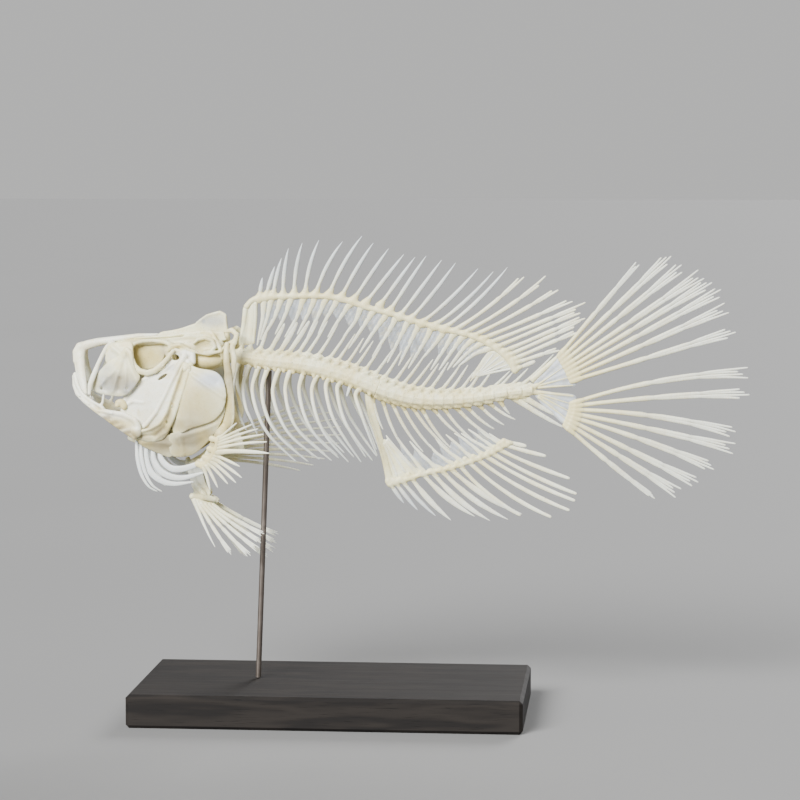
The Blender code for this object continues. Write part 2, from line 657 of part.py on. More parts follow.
def neurocranium(look, collection, cutters):
    """Braincase with the roof over the eyes, the keel under them, the wall between them and the crest."""
    case = bmesh.new()
    loft(case, [skull_section(*row) for row in ((38.0, 129.6, 4.6, 6.6), (43.0, 130.4, 6.0, 8.8),
                                                (49.0, 131.0, 6.3, 9.2), (54.5, 130.2, 5.4, 6.6),
                                                (58.3, 129.2, 2.6, 2.8))])
    bmesh.ops.recalc_face_normals(case, faces=case.faces[:])
    skull = publish("neurocranium", case, look, collection)
    roof = bmesh.new()
    loft(roof, [skull_section(*row, 6) for row in ((13.6, 131.6, 0.9, 2.6), (21.5, 132.6, 1.1, 6.0),
                                                   (28.0, 133.4, 1.1, 4.6), (36.0, 134.0, 1.3, 7.4),
                                                   (43.0, 134.4, 1.6, 8.6))])
    keel = bmesh.new()
    rod_bone(keel, side_points(((14.2, 129.6), (17.0, 126.0), (26.0, 123.8), (36.0, 123.9), (43.0, 126.2))),
             (1.8, 2.2, 1.6, 2.0, 3.0), (3.0, 4.6, 2.2, 2.6, 5.0), 6)
    wing = bmesh.new()
    loft(wing, [corners(Vector((21.6, 0, z)), Vector((0, 0, 1)), 1.8, width, Vector((0, 1, 0)))
                for z, width in ((124.1, 3.4), (127.5, 10.4), (132.7, 13.0))])
    septum = bmesh.new()
    loft(septum, [upright(x, 123.7, 133.9, 0.9) for x in (21.0, 39.5)])
    crest = bmesh.new()
    loft(crest, [upright(*row) for row in ((31.9, 134.2, 137.2, 1.0), (38.0, 134.0, 139.0, 1.0),
                                           (44.0, 134.0, 141.6, 0.9), (49.4, 134.0, 144.1, 0.8),
                                           (53.0, 133.5, 145.3, 0.8), (56.2, 132.6, 143.6, 0.7))])
    for name, piece in (("skull_roof", roof), ("skull_keel", keel), ("skull_wing", wing),
                        ("skull_septum", septum), ("skull_crest", crest)):
        join = skull.modifiers.new(name, "BOOLEAN")
        join.operation = "UNION"
        join.object = add_piece(name, piece, cutters)
    for name, side in SIDES.items():
        pit = bmesh.new()
        place = Matrix.Translation((50.6, side * 9.4, 132.6)) @ Matrix.Diagonal((3.7, 2.2, 2.7, 1))
        bmesh.ops.create_uvsphere(pit, u_segments=8, v_segments=6, radius=1.0, matrix=place)
        cut = skull.modifiers.new("fossa_" + name, "BOOLEAN")
        cut.operation = "DIFFERENCE"
        cut.object = add_piece("fossa_" + name, pit, cutters)
    return skull


def premaxilla(name, side, look, collection):
    """Upper jaw: the long process over the snout, turned down at the tip into the toothed arm."""
    points = flank_points(side, ((31.0, 1.2, 136.3), (18.0, 1.3, 134.9), (6.4, 1.6, 133.0), (2.7, 2.8, 130.6),
                                 (2.6, 5.0, 126.2), (4.4, 7.4, 120.8), (6.2, 8.8, 116.8)))
    bm = bmesh.new()
    rod_bone(bm, along(points, (0, 0.25, 0.5, 0.6, 0.66, 0.76, 0.88, 1.0)),
             (1.2, 2.0, 2.4, 3.4, 4.0, 3.2, 2.4, 1.6), (1.2, 1.7, 1.8, 1.7, 1.6, 1.5, 1.5, 1.4))
    return solid(name, bm, look, collection)


def maxilla(name, side, look, collection):
    """Thin strut behind the upper jaw, from the snout's roof down to the corner of the mouth."""
    points = flank_points(side, ((13.2, 3.4, 133.4), (12.0, 6.4, 130.0), (10.6, 8.6, 126.0),
                                 (9.0, 9.9, 121.4), (8.9, 10.3, 116.6)))
    bm = bmesh.new()
    rod_bone(bm, along(points, evenly(4)), (1.6, 1.3, 1.5, 1.4), (1.6, 1.0, 1.0, 0.9))
    return solid(name, bm, look, collection)


def mandible(name, side, look, collection):
    """Lower jaw: deep at the chin, running back and down to its joint under the cheek."""
    upper = flank_points(side, ((0.9, 1.1, 123.4), (2.6, 3.8, 118.8), (8.2, 7.6, 113.6),
                                (16.0, 9.6, 110.2), (24.2, 10.8, 107.0)))
    lower = flank_points(side, ((1.7, 1.1, 115.6), (4.4, 3.6, 111.4), (10.4, 7.2, 107.2),
                                (18.0, 9.2, 102.4), (24.0, 10.4, 99.2)))
    grid = [[through(upper, share).lerp(through(lower, share), step) for step in evenly(2)]
            for share in evenly(6)]
    return plate(name, grid, 1.5, look, collection)


def infraorbital(name, side, look, collection):
    """Bar of bone round the lower and rear rim of the eye socket."""
    path = []
    for angle in (-172, -140, -105, -70, -35, 0, 22):
        x = ORBIT[0] + ORBIT_RADIUS * math.cos(math.radians(angle))
        z = ORBIT[1] + ORBIT_RADIUS * math.sin(math.radians(angle))
        path.append(Vector((x, side * (cheek(x, z) - 0.9), z)))
    bm = bmesh.new()
    rod_bone(bm, path, (1.2, 1.8, 2.0, 2.0, 1.6, 1.2), (1.0, 1.2, 1.2, 1.0))
    return solid(name, bm, look, collection)


def hyoid(name, side, look, collection):
    """Bar inside the lower jaw with the five curved rays that hang from it."""
    bm = bmesh.new()
    points = flank_points(side, ((23.2, 5.4, 99.6), (30.0, 6.2, 97.6), (37.6, 6.8, 97.0)))
    centres = along(points, evenly(8))
    ways = headings(centres)
    rings = [corners(centre, way, 2.6, 1.6, Vector((0, 1, 0))) for centre, way in zip(centres, ways)]
    spans, _ = loft(bm, rings)
    for ray in range(THROAT_RAYS):
        share = ray / (THROAT_RAYS - 1)
        root = facing(spans[THROAT_RAYS - 1 - ray], (0, 0, -1))
        length = through((28.0, 27.5, 26.0, 20.0, 18.5), share)
        first = through((-52.0, -66.0, -84.0, -82.0, -80.0), share)
        last = through((42.0, 34.0, 19.0, -37.0, -44.0), share)
        path = arc(root_of(root), first, last, length, 4, side * (6.0 - 4.0 * share))
        grow(bm, root, path, *THROAT_RAY_SECTION)
    return solid(name, bm, look, collection)


def shoulder(name, side, look, collection):
    """Cleithrum behind the gill cover, from the skull down and in under the throat."""
    points = flank_points(side, ((57.0, 7.6, 138.4), (57.8, 10.6, 132.0), (58.9, 12.0, 124.0),
                                 (59.3, 12.4, 115.0), (58.2, 11.8, 106.4), (54.6, 9.4, 98.6),
                                 (48.6, 5.4, 93.4), (43.4, 2.6, 91.0)))
    bm = bmesh.new()
    rod_bone(bm, along(points, evenly(9)), (1.6, 2.6, 3.4, 3.8, 4.4, 5.6, 7.0, 6.2, 3.4, 1.6),
             (1.2, 1.2, 1.1, 1.1, 1.2, 1.2, 1.3, 1.3, 1.2, 1.0))
    return solid(name, bm, look, collection)


def gill_cover(name, side, look, collection):
    """The plates of the cheek and gill cover of one side."""
    cheek_plate("suspensorium_" + name, side,
                ((40.6, 129.2), (36.5, 123.4), (26.8, 119.6), (22.4, 112.0), (24.6, 105.4)),
                ((45.4, 129.0), (43.6, 123.8), (40.2, 117.4), (37.6, 109.8), (30.6, 104.2)),
                5, 3, 3.0, 1.0, look, collection)
    cheek_plate("preopercle_" + name, side,
                ((41.2, 124.6), (37.8, 117.6), (35.4, 110.2), (32.6, 105.0), (27.4, 103.6)),
                ((43.2, 124.8), (41.0, 117.8), (38.6, 110.0), (35.6, 102.2), (26.6, 100.7)),
                6, 2, 1.3, 0.9, look, collection)
    cheek_plate("opercle_" + name, side,
                ((44.0, 125.0), (42.0, 119.6), (40.2, 113.4), (39.4, 107.4), (39.8, 102.8)),
                ((49.6, 125.8), (56.6, 123.4), (57.9, 115.0), (52.8, 107.8), (42.6, 103.5)),
                5, 4, 0.0, 0.9, look, collection)
    cheek_plate("subopercle_" + name, side,
                ((39.2, 101.2), (43.0, 102.4), (48.6, 104.4), (53.6, 107.2), (57.2, 111.2)),
                ((38.0, 94.6), (43.6, 93.6), (50.0, 96.2), (54.4, 102.0), (56.6, 107.6)),
                5, 2, 0.0, 0.8, look, collection)
    cheek_plate("interopercle_" + name, side,
                ((25.6, 99.6), (29.6, 99.4), (33.6, 100.4), (37.6, 100.8)),
                ((26.0, 96.8), (29.2, 94.8), (32.8, 93.2), (36.8, 92.8)),
                4, 2, 0.2, 0.8, look, collection)
    cheek_plate("lachrymal_" + name, side,
                ((20.7, 133.0), (15.0, 128.4), (11.4, 123.6), (11.0, 117.6)),
                ((22.1, 132.2), (21.4, 127.0), (24.2, 121.4), (22.6, 116.4)),
                4, 3, 0.1, 0.9, look, collection)


def head(bone, clear, collection, cutters):
    neurocranium(bone, collection, cutters)
    for name, side in SIDES.items():
        premaxilla("premaxilla_" + name, side, bone, collection)
        maxilla("maxilla_" + name, side, bone, collection)
        mandible("mandible_" + name, side, bone, collection)
        infraorbital("infraorbital_" + name, side, bone, collection)
        gill_cover(name, side, bone, collection)
        hyoid("hyoid_" + name, side, clear, collection)
        shoulder("shoulder_girdle_" + name, side, bone, collection)


# Paired fins

def pectoral_fin(name, side, fan, lengths, flare, look, collection):
    """Breast fin: a curved row of short bones with the rays fanned from it."""
    points = flank_points(side, ((55.8, 14.4, 101.2), (54.8, 14.0, 96.8), (52.6, 13.0, 93.0),
                                 (49.2, 11.6, 90.2)))
    bm = bmesh.new()
    centres = along(points, evenly(PECTORAL_RAYS))
    ways = headings(centres)
    rings = [corners(centre, way, 2.4, 1.6, Vector((0, 1, 0))) for centre, way in zip(centres, ways)]
    spans, _ = loft(bm, rings)
    for ray in range(PECTORAL_RAYS):
        share = ray / (PECTORAL_RAYS - 1)
        root = facing(spans[ray], (1, 0, -0.4 - share))
        angle = through(fan, share)
        lean = side * through(flare, share)
        path = arc(root_of(root), angle + 5, angle - 5, through(lengths, share), 3, lean)
        grow(bm, root, path, *PECTORAL_SECTION)
    return solid(name, bm, look, collection)


def pelvic_girdle(look, collection):
    """Pair of slim bones under the throat, joined where they carry the pelvic fins."""
    bm = bmesh.new()
    points = side_points(((42.6, 91.0), (43.6, 86.0), (45.6, 81.4), (49.6, 78.8)))
    rod_bone(bm, along(points, evenly(4)), (1.6, 3.4, 4.4, 4.0, 2.4), (1.6, 3.4, 5.6, 6.4, 4.6))
    return solid("pelvic_girdle", bm, look, collection)


def pelvic_fin(name, side, reach, look, collection):
    """Pelvic fin: one spine and five rays, swept down and back."""
    bm = bmesh.new()
    points = flank_points(side, ((44.6, 4.4, 78.2), (48.0, 4.6, 76.4), (51.6, 3.6, 75.6)))
    centres = along(points, evenly(PELVIC_RAYS))
    ways = headings(centres)
    rings = [corners(centre, way, 1.8, 1.6, Vector((0, 1, 0))) for centre, way in zip(centres, ways)]
    spans, _ = loft(bm, rings)
    for ray in range(PELVIC_RAYS):
        share = ray / (PELVIC_RAYS - 1)
        root = facing(spans[ray], (0.2, 0, -1))
        angle = through((-64.0, -55.0, -45.0, -38.5, -33.5, -28.0), share)
        length = reach * through((19.5, 23.5, 27.0, 26.0, 24.0, 22.0), share)
        path = arc(root_of(root), angle - 5, angle + 5, length, 3, side * (13.0 - 6.0 * share))
        grow(bm, root, path, *PELVIC_SECTION)
    return solid(name, bm, look, collection)


# Stand

def stand(collection):
    block = bmesh.new()
    bmesh.ops.create_cube(block, size=1.0,
                          matrix=Matrix.Translation((BASE_CENTRE, 0, BASE_HEIGHT / 2))
                          @ Matrix.Diagonal((BASE_LENGTH, BASE_WIDTH, BASE_HEIGHT, 1)))
    base = publish("stand_base", block, material("black_wood", BLACK_WOOD, 0.45), collection)
    edge = base.modifiers.new("edge", "BEVEL")
    edge.width = BASE_BEVEL * MM
    edge.segments = 1
    foot = Vector((ROD_FOOT, 0, BASE_HEIGHT + GAP))
    head_place = (ROD_HEAD - COLUMN[0][0]) / (COLUMN[-1][0] - COLUMN[0][0]) * VERTEBRAE
    under = column_point(head_place).z - column_radius(head_place) - GAP
    top = Vector((ROD_HEAD, 0, under - 0.3))
    lean = (top - foot).to_track_quat("Z", "Y").to_matrix().to_4x4()
    rod = bmesh.new()
    bmesh.ops.create_cone(rod, cap_ends=True, segments=12, radius1=ROD_RADIUS, radius2=ROD_RADIUS,
                          depth=(top - foot).length, matrix=Matrix.Translation((foot + top) / 2) @ lean)
    publish("stand_rod", rod, material("dull_steel", STEEL, 0.4, 0.8), collection)


def main():
    clear_scene()
    collection = new_collection("fish_skeleton")
    cutters = new_collection("joined_shapes")
    bone = material("bone", IVORY, 0.5)
    yellow = material("yellowed_bone", YELLOWED, 0.5)
    clear = material("clear_bone", CLEAR, 0.45)
    head(bone, clear, collection, cutters)
    trunk_vertebrae(yellow, collection)
    for name, side in SIDES.items():
        rib_side("ribs_" + name, side, bone, collection)
    caudal_vertebrae(yellow, collection)
    dorsal_fin(bone, collection)
    anal_fin(bone, collection)
    tail(bone, clear, collection)
    pectoral_fin("pectoral_fin_left", -1, (38.0, 22.0, 12.0, 2.0, -18.0, -42.0, -64.0, -76.0),
                 (10.5, 16.0, 18.5, 20.5, 17.0, 13.5, 11.0, 9.0), (24.0, 20.0, 12.0, 4.0), bone, collection)
    pectoral_fin("pectoral_fin_right", 1, (19.0, 14.0, 8.0, 2.5, -3.0, -7.0),
                 (28.0, 36.0, 40.0, 40.0, 36.0, 29.0), (14.0, 12.0, 8.0), bone, collection)
    pelvic_girdle(clear, collection)
    pelvic_fin("pelvic_fin_left", -1, 1.0, bone, collection)
    pelvic_fin("pelvic_fin_right", 1, 1.18, bone, collection)
    stand(collection)


main()
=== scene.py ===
import math
import bpy
import numpy as np
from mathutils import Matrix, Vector


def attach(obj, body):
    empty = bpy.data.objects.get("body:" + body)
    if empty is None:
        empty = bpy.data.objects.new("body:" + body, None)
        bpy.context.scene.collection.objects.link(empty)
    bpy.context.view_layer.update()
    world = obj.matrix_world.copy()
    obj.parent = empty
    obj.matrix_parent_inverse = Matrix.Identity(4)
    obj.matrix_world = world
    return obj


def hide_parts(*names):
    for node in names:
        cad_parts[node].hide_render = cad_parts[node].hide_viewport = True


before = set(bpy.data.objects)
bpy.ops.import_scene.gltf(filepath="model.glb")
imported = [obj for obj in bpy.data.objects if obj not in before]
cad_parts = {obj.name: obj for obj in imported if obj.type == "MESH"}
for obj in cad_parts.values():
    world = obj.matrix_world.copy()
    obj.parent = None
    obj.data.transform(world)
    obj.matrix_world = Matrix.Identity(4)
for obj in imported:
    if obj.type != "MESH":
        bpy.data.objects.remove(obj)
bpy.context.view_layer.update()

print("frame loaded:", len(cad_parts), "bones and stand pieces")

# The fish is drawn in millimetres: s runs back from the snout, h is the height over the table,
# and y is the distance from the middle plane, with the left side, which faces the camera, at -y.
fish = {
    "length": 244.7,
    "millimetre": 0.001,
    "vertebrae": 30,
    "trunkVertebrae": 15,
    "clayGrain": 0.25,  # size of the cells that the fused bones are made in
    "tubeSides": 12,
    "leafStep": 0.36,
    "barStep": 0.8,
}

# Curves through a few values

def between(before, start, end, after, t):  # from start to end, smooth with what lies before and after
    bend = 2 * before - 5 * start + 4 * end - after
    return start + 0.5 * t * ((end - before) + t * (bend + t * (3 * (start - end) + after - before)))


def through(values, shares):
    values = np.asarray(values, float)
    shares = np.clip(np.atleast_1d(np.asarray(shares, float)), 0.0, 1.0)
    spans = len(values) - 1
    place = shares * spans
    index = np.minimum(place.astype(int), spans - 1)
    t = place - index
    if values.ndim > 1:
        t = t[:, None]
    return between(*(values[np.clip(index + step, 0, spans)] for step in (-1, 0, 1, 2)), t)


def runAlong(points):
    steps = np.linalg.norm(np.diff(points, axis=0), axis=1)
    return np.concatenate([[0.0], np.cumsum(steps)])


def walk(points, shares):
    fine = through(points, np.linspace(0, 1, 14 * len(points)))
    run = runAlong(fine)
    wanted = np.clip(np.atleast_1d(shares), 0, 1) * run[-1]
    return np.stack([np.interp(wanted, run, fine[:, axis]) for axis in range(3)], axis=1)


def course(points, count):
    return walk(np.asarray(points, float), np.linspace(0, 1, count))


def inPlane(pairs):
    return np.array([(s, 0, h) for s, h in pairs], float)


def sweep(start, first, last, length, count=12, flare=0.0):  # path whose angle turns evenly
    share = (np.arange(count) + 0.5) / count
    angle = np.radians(first + (last - first) * share)
    out, back = math.sin(math.radians(flare)), math.cos(math.radians(flare))
    steps = np.stack([back * np.cos(angle), np.full(count, out), back * np.sin(angle)], axis=1)
    return np.vstack([start, start + np.cumsum(steps * length / count, axis=0)])


# Shapes are kept as plain arrays until they become meshes

def shapeFrom(points, quads, marks=None):
    quads = np.asarray(quads, int)
    return {"points": np.asarray(points, float), "corners": quads.reshape(-1),
        "sizes": np.full(len(quads), quads.shape[1]), "marks": dict(marks or {})}


def shapeOf(mesh):
    points = np.empty(len(mesh.vertices) * 3)
    mesh.vertices.foreach_get("co", points)
    corners = np.empty(len(mesh.loops), np.int64)
    mesh.loops.foreach_get("vertex_index", corners)
    sizes = np.empty(len(mesh.polygons), np.int64)
    mesh.polygons.foreach_get("loop_total", sizes)
    marks = {}
    for layer in mesh.attributes:
        if layer.domain == "POINT" and layer.data_type == "FLOAT":
            marks[layer.name] = np.empty(len(mesh.vertices))
            layer.data.foreach_get("value", marks[layer.name])
    return {"points": points.reshape(-1, 3), "corners": corners, "sizes": sizes, "marks": marks}


def gather(shapes):
    names = sorted({name for shape in shapes for name in shape["marks"]})
    starts = np.cumsum([0] + [len(shape["points"]) for shape in shapes])
    marks = {name: np.concatenate([shape["marks"].get(name,
        np.zeros(len(shape["points"]))) for shape in shapes]) for name in names}
    return {"points": np.vstack([shape["points"] for shape in shapes]),
        "corners": np.concatenate([shape["corners"] + start for shape, start in zip(shapes, starts)]),
        "sizes": np.concatenate([shape["sizes"] for shape in shapes]), "marks": marks}


def mirrored(shape):  # the same bone on the other side, its faces turned back out
    ends = np.cumsum(shape["sizes"])
    starts = ends - shape["sizes"]
    owner = np.repeat(np.arange(len(ends)), shape["sizes"])
    order = starts[owner] + ends[owner] - 1 - np.arange(len(shape["corners"]))
    return {"points": shape["points"] * (1, -1, 1), "corners": shape["corners"][order], "sizes": shape["sizes"],
        "marks": shape["marks"]}


def meshFrom(name, shape):
    mesh = bpy.data.meshes.new(name)
    mesh.vertices.add(len(shape["points"]))
    mesh.vertices.foreach_set("co", shape["points"].astype(np.float32).reshape(-1))
    mesh.loops.add(len(shape["corners"]))
    mesh.loops.foreach_set("vertex_index", shape["corners"].astype(np.int32))
    mesh.polygons.add(len(shape["sizes"]))
    mesh.polygons.foreach_set("loop_start", (np.cumsum(shape["sizes"]) - shape["sizes"]).astype(np.int32))
    mesh.update(calc_edges=True)
    for mark, values in shape["marks"].items():
        mesh.attributes.new(mark, "FLOAT", "POINT").data.foreach_set("value", values.astype(np.float32))
    return mesh


def neighbourMean(edges, values, count):  # mean of each point's neighbours
    a, b = edges[:, 0], edges[:, 1]
    number = np.maximum(np.bincount(a, minlength=count) + np.bincount(b, minlength=count), 1)
    if values.ndim == 1:
        total = np.bincount(a, values[b], count) + np.bincount(b, values[a], count)
        return total / number
    return np.stack([neighbourMean(edges, values[:, axis], count) for axis in range(3)], axis=1)


def sidesOf(shape):  # each side of each face, as the two points it joins
    last = np.cumsum(shape["sizes"]) - 1
    following = np.arange(len(shape["corners"])) + 1
    following[last] = last - shape["sizes"] + 1
    return np.stack([shape["corners"], shape["corners"][following]], axis=1)


def edgesOf(shape):
    return np.unique(np.sort(sidesOf(shape), axis=1), axis=0)


def smoothed(shape, rounds):  # softens without shrinking
    edges = edgesOf(shape)
    points = shape["points"]
    for _ in range(rounds):
        for share in (0.5, -0.52):
            points = points + share * (neighbourMean(edges, points, len(points)) - points)
    return {**shape, "points": points}


def dabbed(shape, mark, spots):  # soft spots of a mark: place, reach along, reach up, strength
    s, h = shape["points"][:, 0], shape["points"][:, 2]
    value = shape["marks"].get(mark, np.zeros(len(s))).copy()
    for s0, h0, along, up, strength in spots:
        value = np.maximum(value, strength * np.exp(-(((s - s0) / along) ** 2 + ((h - h0) / up) ** 2) ** 1.5))
    shape["marks"][mark] = value
    return shape


# Clay: bones that flow into each other are built up in a block of cells and skinned once

def segmentDistance(px, pz, a, b):  # distance in the side view to one segment, and place along it
    ab = (b[0] - a[0], b[1] - a[1])
    t = np.clip(((px - a[0]) * ab[0] + (pz - a[1]) * ab[1]) / max(ab[0] ** 2 + ab[1] ** 2, 1e-9), 0, 1)
    return np.hypot(px - a[0] - t * ab[0], pz - a[1] - t * ab[1]), t


def outlineDepth(px, pz, outline):  # how far inside an outline each place lies; negative outside
    nearest = np.full(np.broadcast(px, pz).shape, 1e3)
    inside = np.zeros(nearest.shape, bool)
    for a, b in zip(outline, np.roll(outline, -1, axis=0)):
        nearest = np.minimum(nearest, segmentDistance(px, pz, a, b)[0])
        if a[1] != b[1]:
            crossing = a[0] + (pz - a[1]) * (b[0] - a[0]) / (b[1] - a[1])
            inside ^= ((a[1] > pz) != (b[1] > pz)) & (px < crossing)
    return np.where(inside, nearest, -nearest)


def rounded(outline, steps):  # closed smooth outline through a few corners
    outline = np.asarray(outline, float)
    count = len(outline)
    t = (np.arange(steps) / steps)[:, None]
    return np.vstack([between(*(outline[(index + step) % count] for step in (-1, 0, 1, 2)),
        t) for index in range(count)])


def withoutSpecks(shape, least=150):  # drops loose crumbs of fewer faces than this
    edges = edgesOf(shape)
    label = np.arange(len(shape["points"]))
    while True:
        low = label.copy()
        np.minimum.at(low, edges.ravel(), np.repeat(label[edges].min(axis=1), 2))
        low = low[low]
        if (low == label).all():
            break
        label = low
    quads = shape["corners"].reshape(-1, 4)
    group = label[quads[:, 0]]
    quads = quads[np.bincount(group)[group] >= least]
    used = np.unique(quads)
    number = np.zeros(len(label), int)
    number[used] = np.arange(len(used))
    return shapeFrom(shape["points"][used], number[quads])


def slabDistance(across, beyond, soft):  # from the faces and the rim of a plate with a softened edge
    outside = np.hypot(np.maximum(across, 0), np.maximum(beyond, 0))
    return np.minimum(np.maximum(across, beyond), 0) + outside - soft


class Clay:
    def __init__(self, low, high, fold=False):
        self.grain = fish["clayGrain"]
        self.low = np.array(low, float) - 3 * self.grain
        self.count = np.ceil((np.array(high, float) - self.low) / self.grain).astype(int) + 4
        self.field = np.full(self.count, 9.0, np.float32)
        self.fold = fold  # both sides of a paired form are worked at once

    def block(self, low, high):
        first = np.clip(np.floor((np.asarray(low) - self.low) / self.grain).astype(int), 0, self.count - 1)
        last = np.clip(np.ceil((np.asarray(high) - self.low) / self.grain).astype(int) + 1, first + 1, self.count)
        lines = [self.low[axis] + self.grain * np.arange(first[axis], last[axis]) for axis in range(3)]
        s, y, h = np.meshgrid(*lines, indexing="ij", sparse=True)
        if self.fold:
            y = np.abs(y)
        return tuple(slice(a, b) for a, b in zip(first, last)), (s, y, h)

    def span(self, low, high, reach):
        low, high = np.array(low, float) - reach, np.array(high, float) + reach
        if self.fold:
            low[1] = -high[1]
        return low, high

    def press(self, low, high, distance, blend, carve=False):
        where, grid = self.block(*self.span(low, high, blend + 2 * self.grain))
        sign = -1 if carve else 1
        old, new = self.field[where], sign * distance(*grid)
        mix = np.clip(0.5 + sign * 0.5 * (old - new) / max(blend, 1e-6), 0, 1)
        self.field[where] = old + (new - old) * mix - sign * blend * mix * (1 - mix)

    def rope(self, points, wide, deep=None, blend=0.3, carve=False):
        points = np.asarray(points, float)
        share = runAlong(points)
        share = share / share[-1]
        radius = 0.5 * through(wide, share)
        flat = np.ones(len(points)) if deep is None else radius / (0.5 * through(deep, share))

        def distance(s, y, h):
            nearest = np.full(np.broadcast(s, y, h).shape, 9.0)
            for a, b, ra, rb, f in zip(points, points[1:], radius, radius[1:], flat):
                ab = (b[0] - a[0], (b[1] - a[1]) * f, b[2] - a[2])
                ap = (s - a[0], (y - a[1]) * f, h - a[2])
                length = max(ab[0] ** 2 + ab[1] ** 2 + ab[2] ** 2, 1e-9)
                t = np.clip((ap[0] * ab[0] + ap[1] * ab[1] + ap[2] * ab[2]) / length, 0, 1)
                off = np.sqrt((ap[0] - t * ab[0]) ** 2 + (ap[1] - t * ab[1]) ** 2 + (ap[2] - t * ab[2]) ** 2)
                nearest = np.minimum(nearest, off - ra - t * (rb - ra))
            return nearest

        self.press(points.min(0) - radius.max(), points.max(0) + radius.max(), distance, blend, carve)

    def ball(self, centre, radii, blend, tilt=0, carve=False):
        c, sn = math.cos(math.radians(tilt)), math.sin(math.radians(tilt))

        def distance(s, y, h):
            u = (s - centre[0]) * c + (h - centre[2]) * sn
            w = (h - centre[2]) * c - (s - centre[0]) * sn
            v = y - centre[1]
            near = np.sqrt((u / radii[0]) ** 2 + (v / radii[1]) ** 2 + (w / radii[2]) ** 2)
            far = np.sqrt((u / radii[0] ** 2) ** 2 + (v / radii[1] ** 2) ** 2 + (w / radii[2] ** 2) ** 2)
            return near * (near - 1) / np.maximum(far, 1e-6)

        reach = max(radii)
        self.press(np.subtract(centre, reach), np.add(centre, reach), distance, blend, carve)

    def hollow(self, centre, radii, blend, tilt=0):
        self.ball(centre, radii, blend, tilt, True)

    def sheet(self, outline, middle, thick, blend, steps=3):  # plate standing along y = middle
        outline = rounded(outline, steps)
        (s0, h0), (s1, h1) = outline.min(0), outline.max(0)
        middleAt = middle if callable(middle) else lambda s, h: middle + 0 * s
        thickAt = thick if callable(thick) else lambda s, h: thick + 0 * s

        def distance(s, y, h):
            depth = outlineDepth(s[:, 0], h[0], outline)[:, None, :]
            soft = 0.45 * thickAt(s, h)
            across = np.abs(y - middleAt(s, h)) - thickAt(s, h) / 2 + soft
            beyond = soft - depth
            return slabDistance(across, beyond, soft)

        level = middleAt(outline[:, 0], outline[:, 1])
        self.press((s0, level.min() - 2, h0), (s1, level.max() + 2, h1), distance, blend)

    def roof(self, places, rise, half, thick, droop, blend):  # plate arched over the middle plane
        def distance(s, y, h):
            wide = np.interp(s, places, half)
            across = np.abs(h - np.interp(s, places, rise) + droop * (y / wide) ** 2) - thick / 2 + 0.35
            beyond = np.maximum(np.abs(y) - wide,
                np.abs(s - (places[0] + places[-1]) / 2) - (places[-1] - places[0]) / 2) + 0.35
            return slabDistance(across, beyond, 0.35)

        self.press((places[0], 0, min(rise) - droop), (places[-1], max(half), max(rise)), distance, blend)

    def shape(self):
        f = self.field
        f[0], f[-1], f[:, 0], f[:, -1], f[:, :, 0], f[:, :, -1] = (9.0,) * 6
        for axes in ((0, 1, 2), (1, 2, 0), (2, 0, 1)) * 2:  # fill in where clay would touch only along a line
            turned = f.transpose(axes)
            a, b, c, d = turned[:-1, :-1], turned[1:, :-1], turned[:-1, 1:], turned[1:, 1:]
            a[(a >= 0) & (d >= 0) & (b < 0) & (c < 0)] = -0.02
            b[(b >= 0) & (c >= 0) & (a < 0) & (d < 0)] = -0.02
        inside = f < 0
        steps = np.array([(i, j, k) for i in (0, 1) for j in (0, 1) for k in (0, 1)])
        cells = [inside[i:i + f.shape[0] - 1, j:j + f.shape[1] - 1, k:k + f.shape[2] - 1] for i, j, k in steps]
        total = sum(cell.astype(np.int8) for cell in cells)
        mixed = (total > 0) & (total < 8)
        cell = np.argwhere(mixed)
        number = np.full(mixed.shape, -1)
        number[mixed] = np.arange(len(cell))
        value = [f[tuple((cell + step).T)] for step in steps]
        place = np.zeros((len(cell), 3))
        count = np.zeros(len(cell))
        for a in range(8):
            for b in range(a + 1, 8):
                if np.abs(steps[a] - steps[b]).sum() == 1:
                    crosses = (value[a] < 0) != (value[b] < 0)
                    t = value[a] / np.where(crosses, value[a] - value[b], 1)
                    place[crosses] += (steps[a] + t[:, None] * (steps[b] - steps[a]))[crosses]
                    count += crosses
        points = self.low + self.grain * (cell + place / count[:, None])
        quads = []
        for axis in range(3):
            u, v = np.eye(3, dtype=int)[(axis + 1) % 3], np.eye(3, dtype=int)[(axis + 2) % 3]
            start = inside[tuple(slice(0, -1) if k == axis else slice(None) for k in range(3))]
            end = inside[tuple(slice(1, None) if k == axis else slice(None) for k in range(3))]
            spot = np.argwhere(start != end)
            ring = [number[tuple((spot - step).T)] for step in (0 * u, u, u + v, v)]
            quad = np.stack(ring, axis=1)
            back = ~start[tuple(spot.T)]
            quad[back] = quad[back][:, ::-1]
            quads.append(quad)
        return smoothed(withoutSpecks(shapeFrom(points, np.vstack(quads))), 2)


# Leaf: a thin plate cut to an outline in the side view

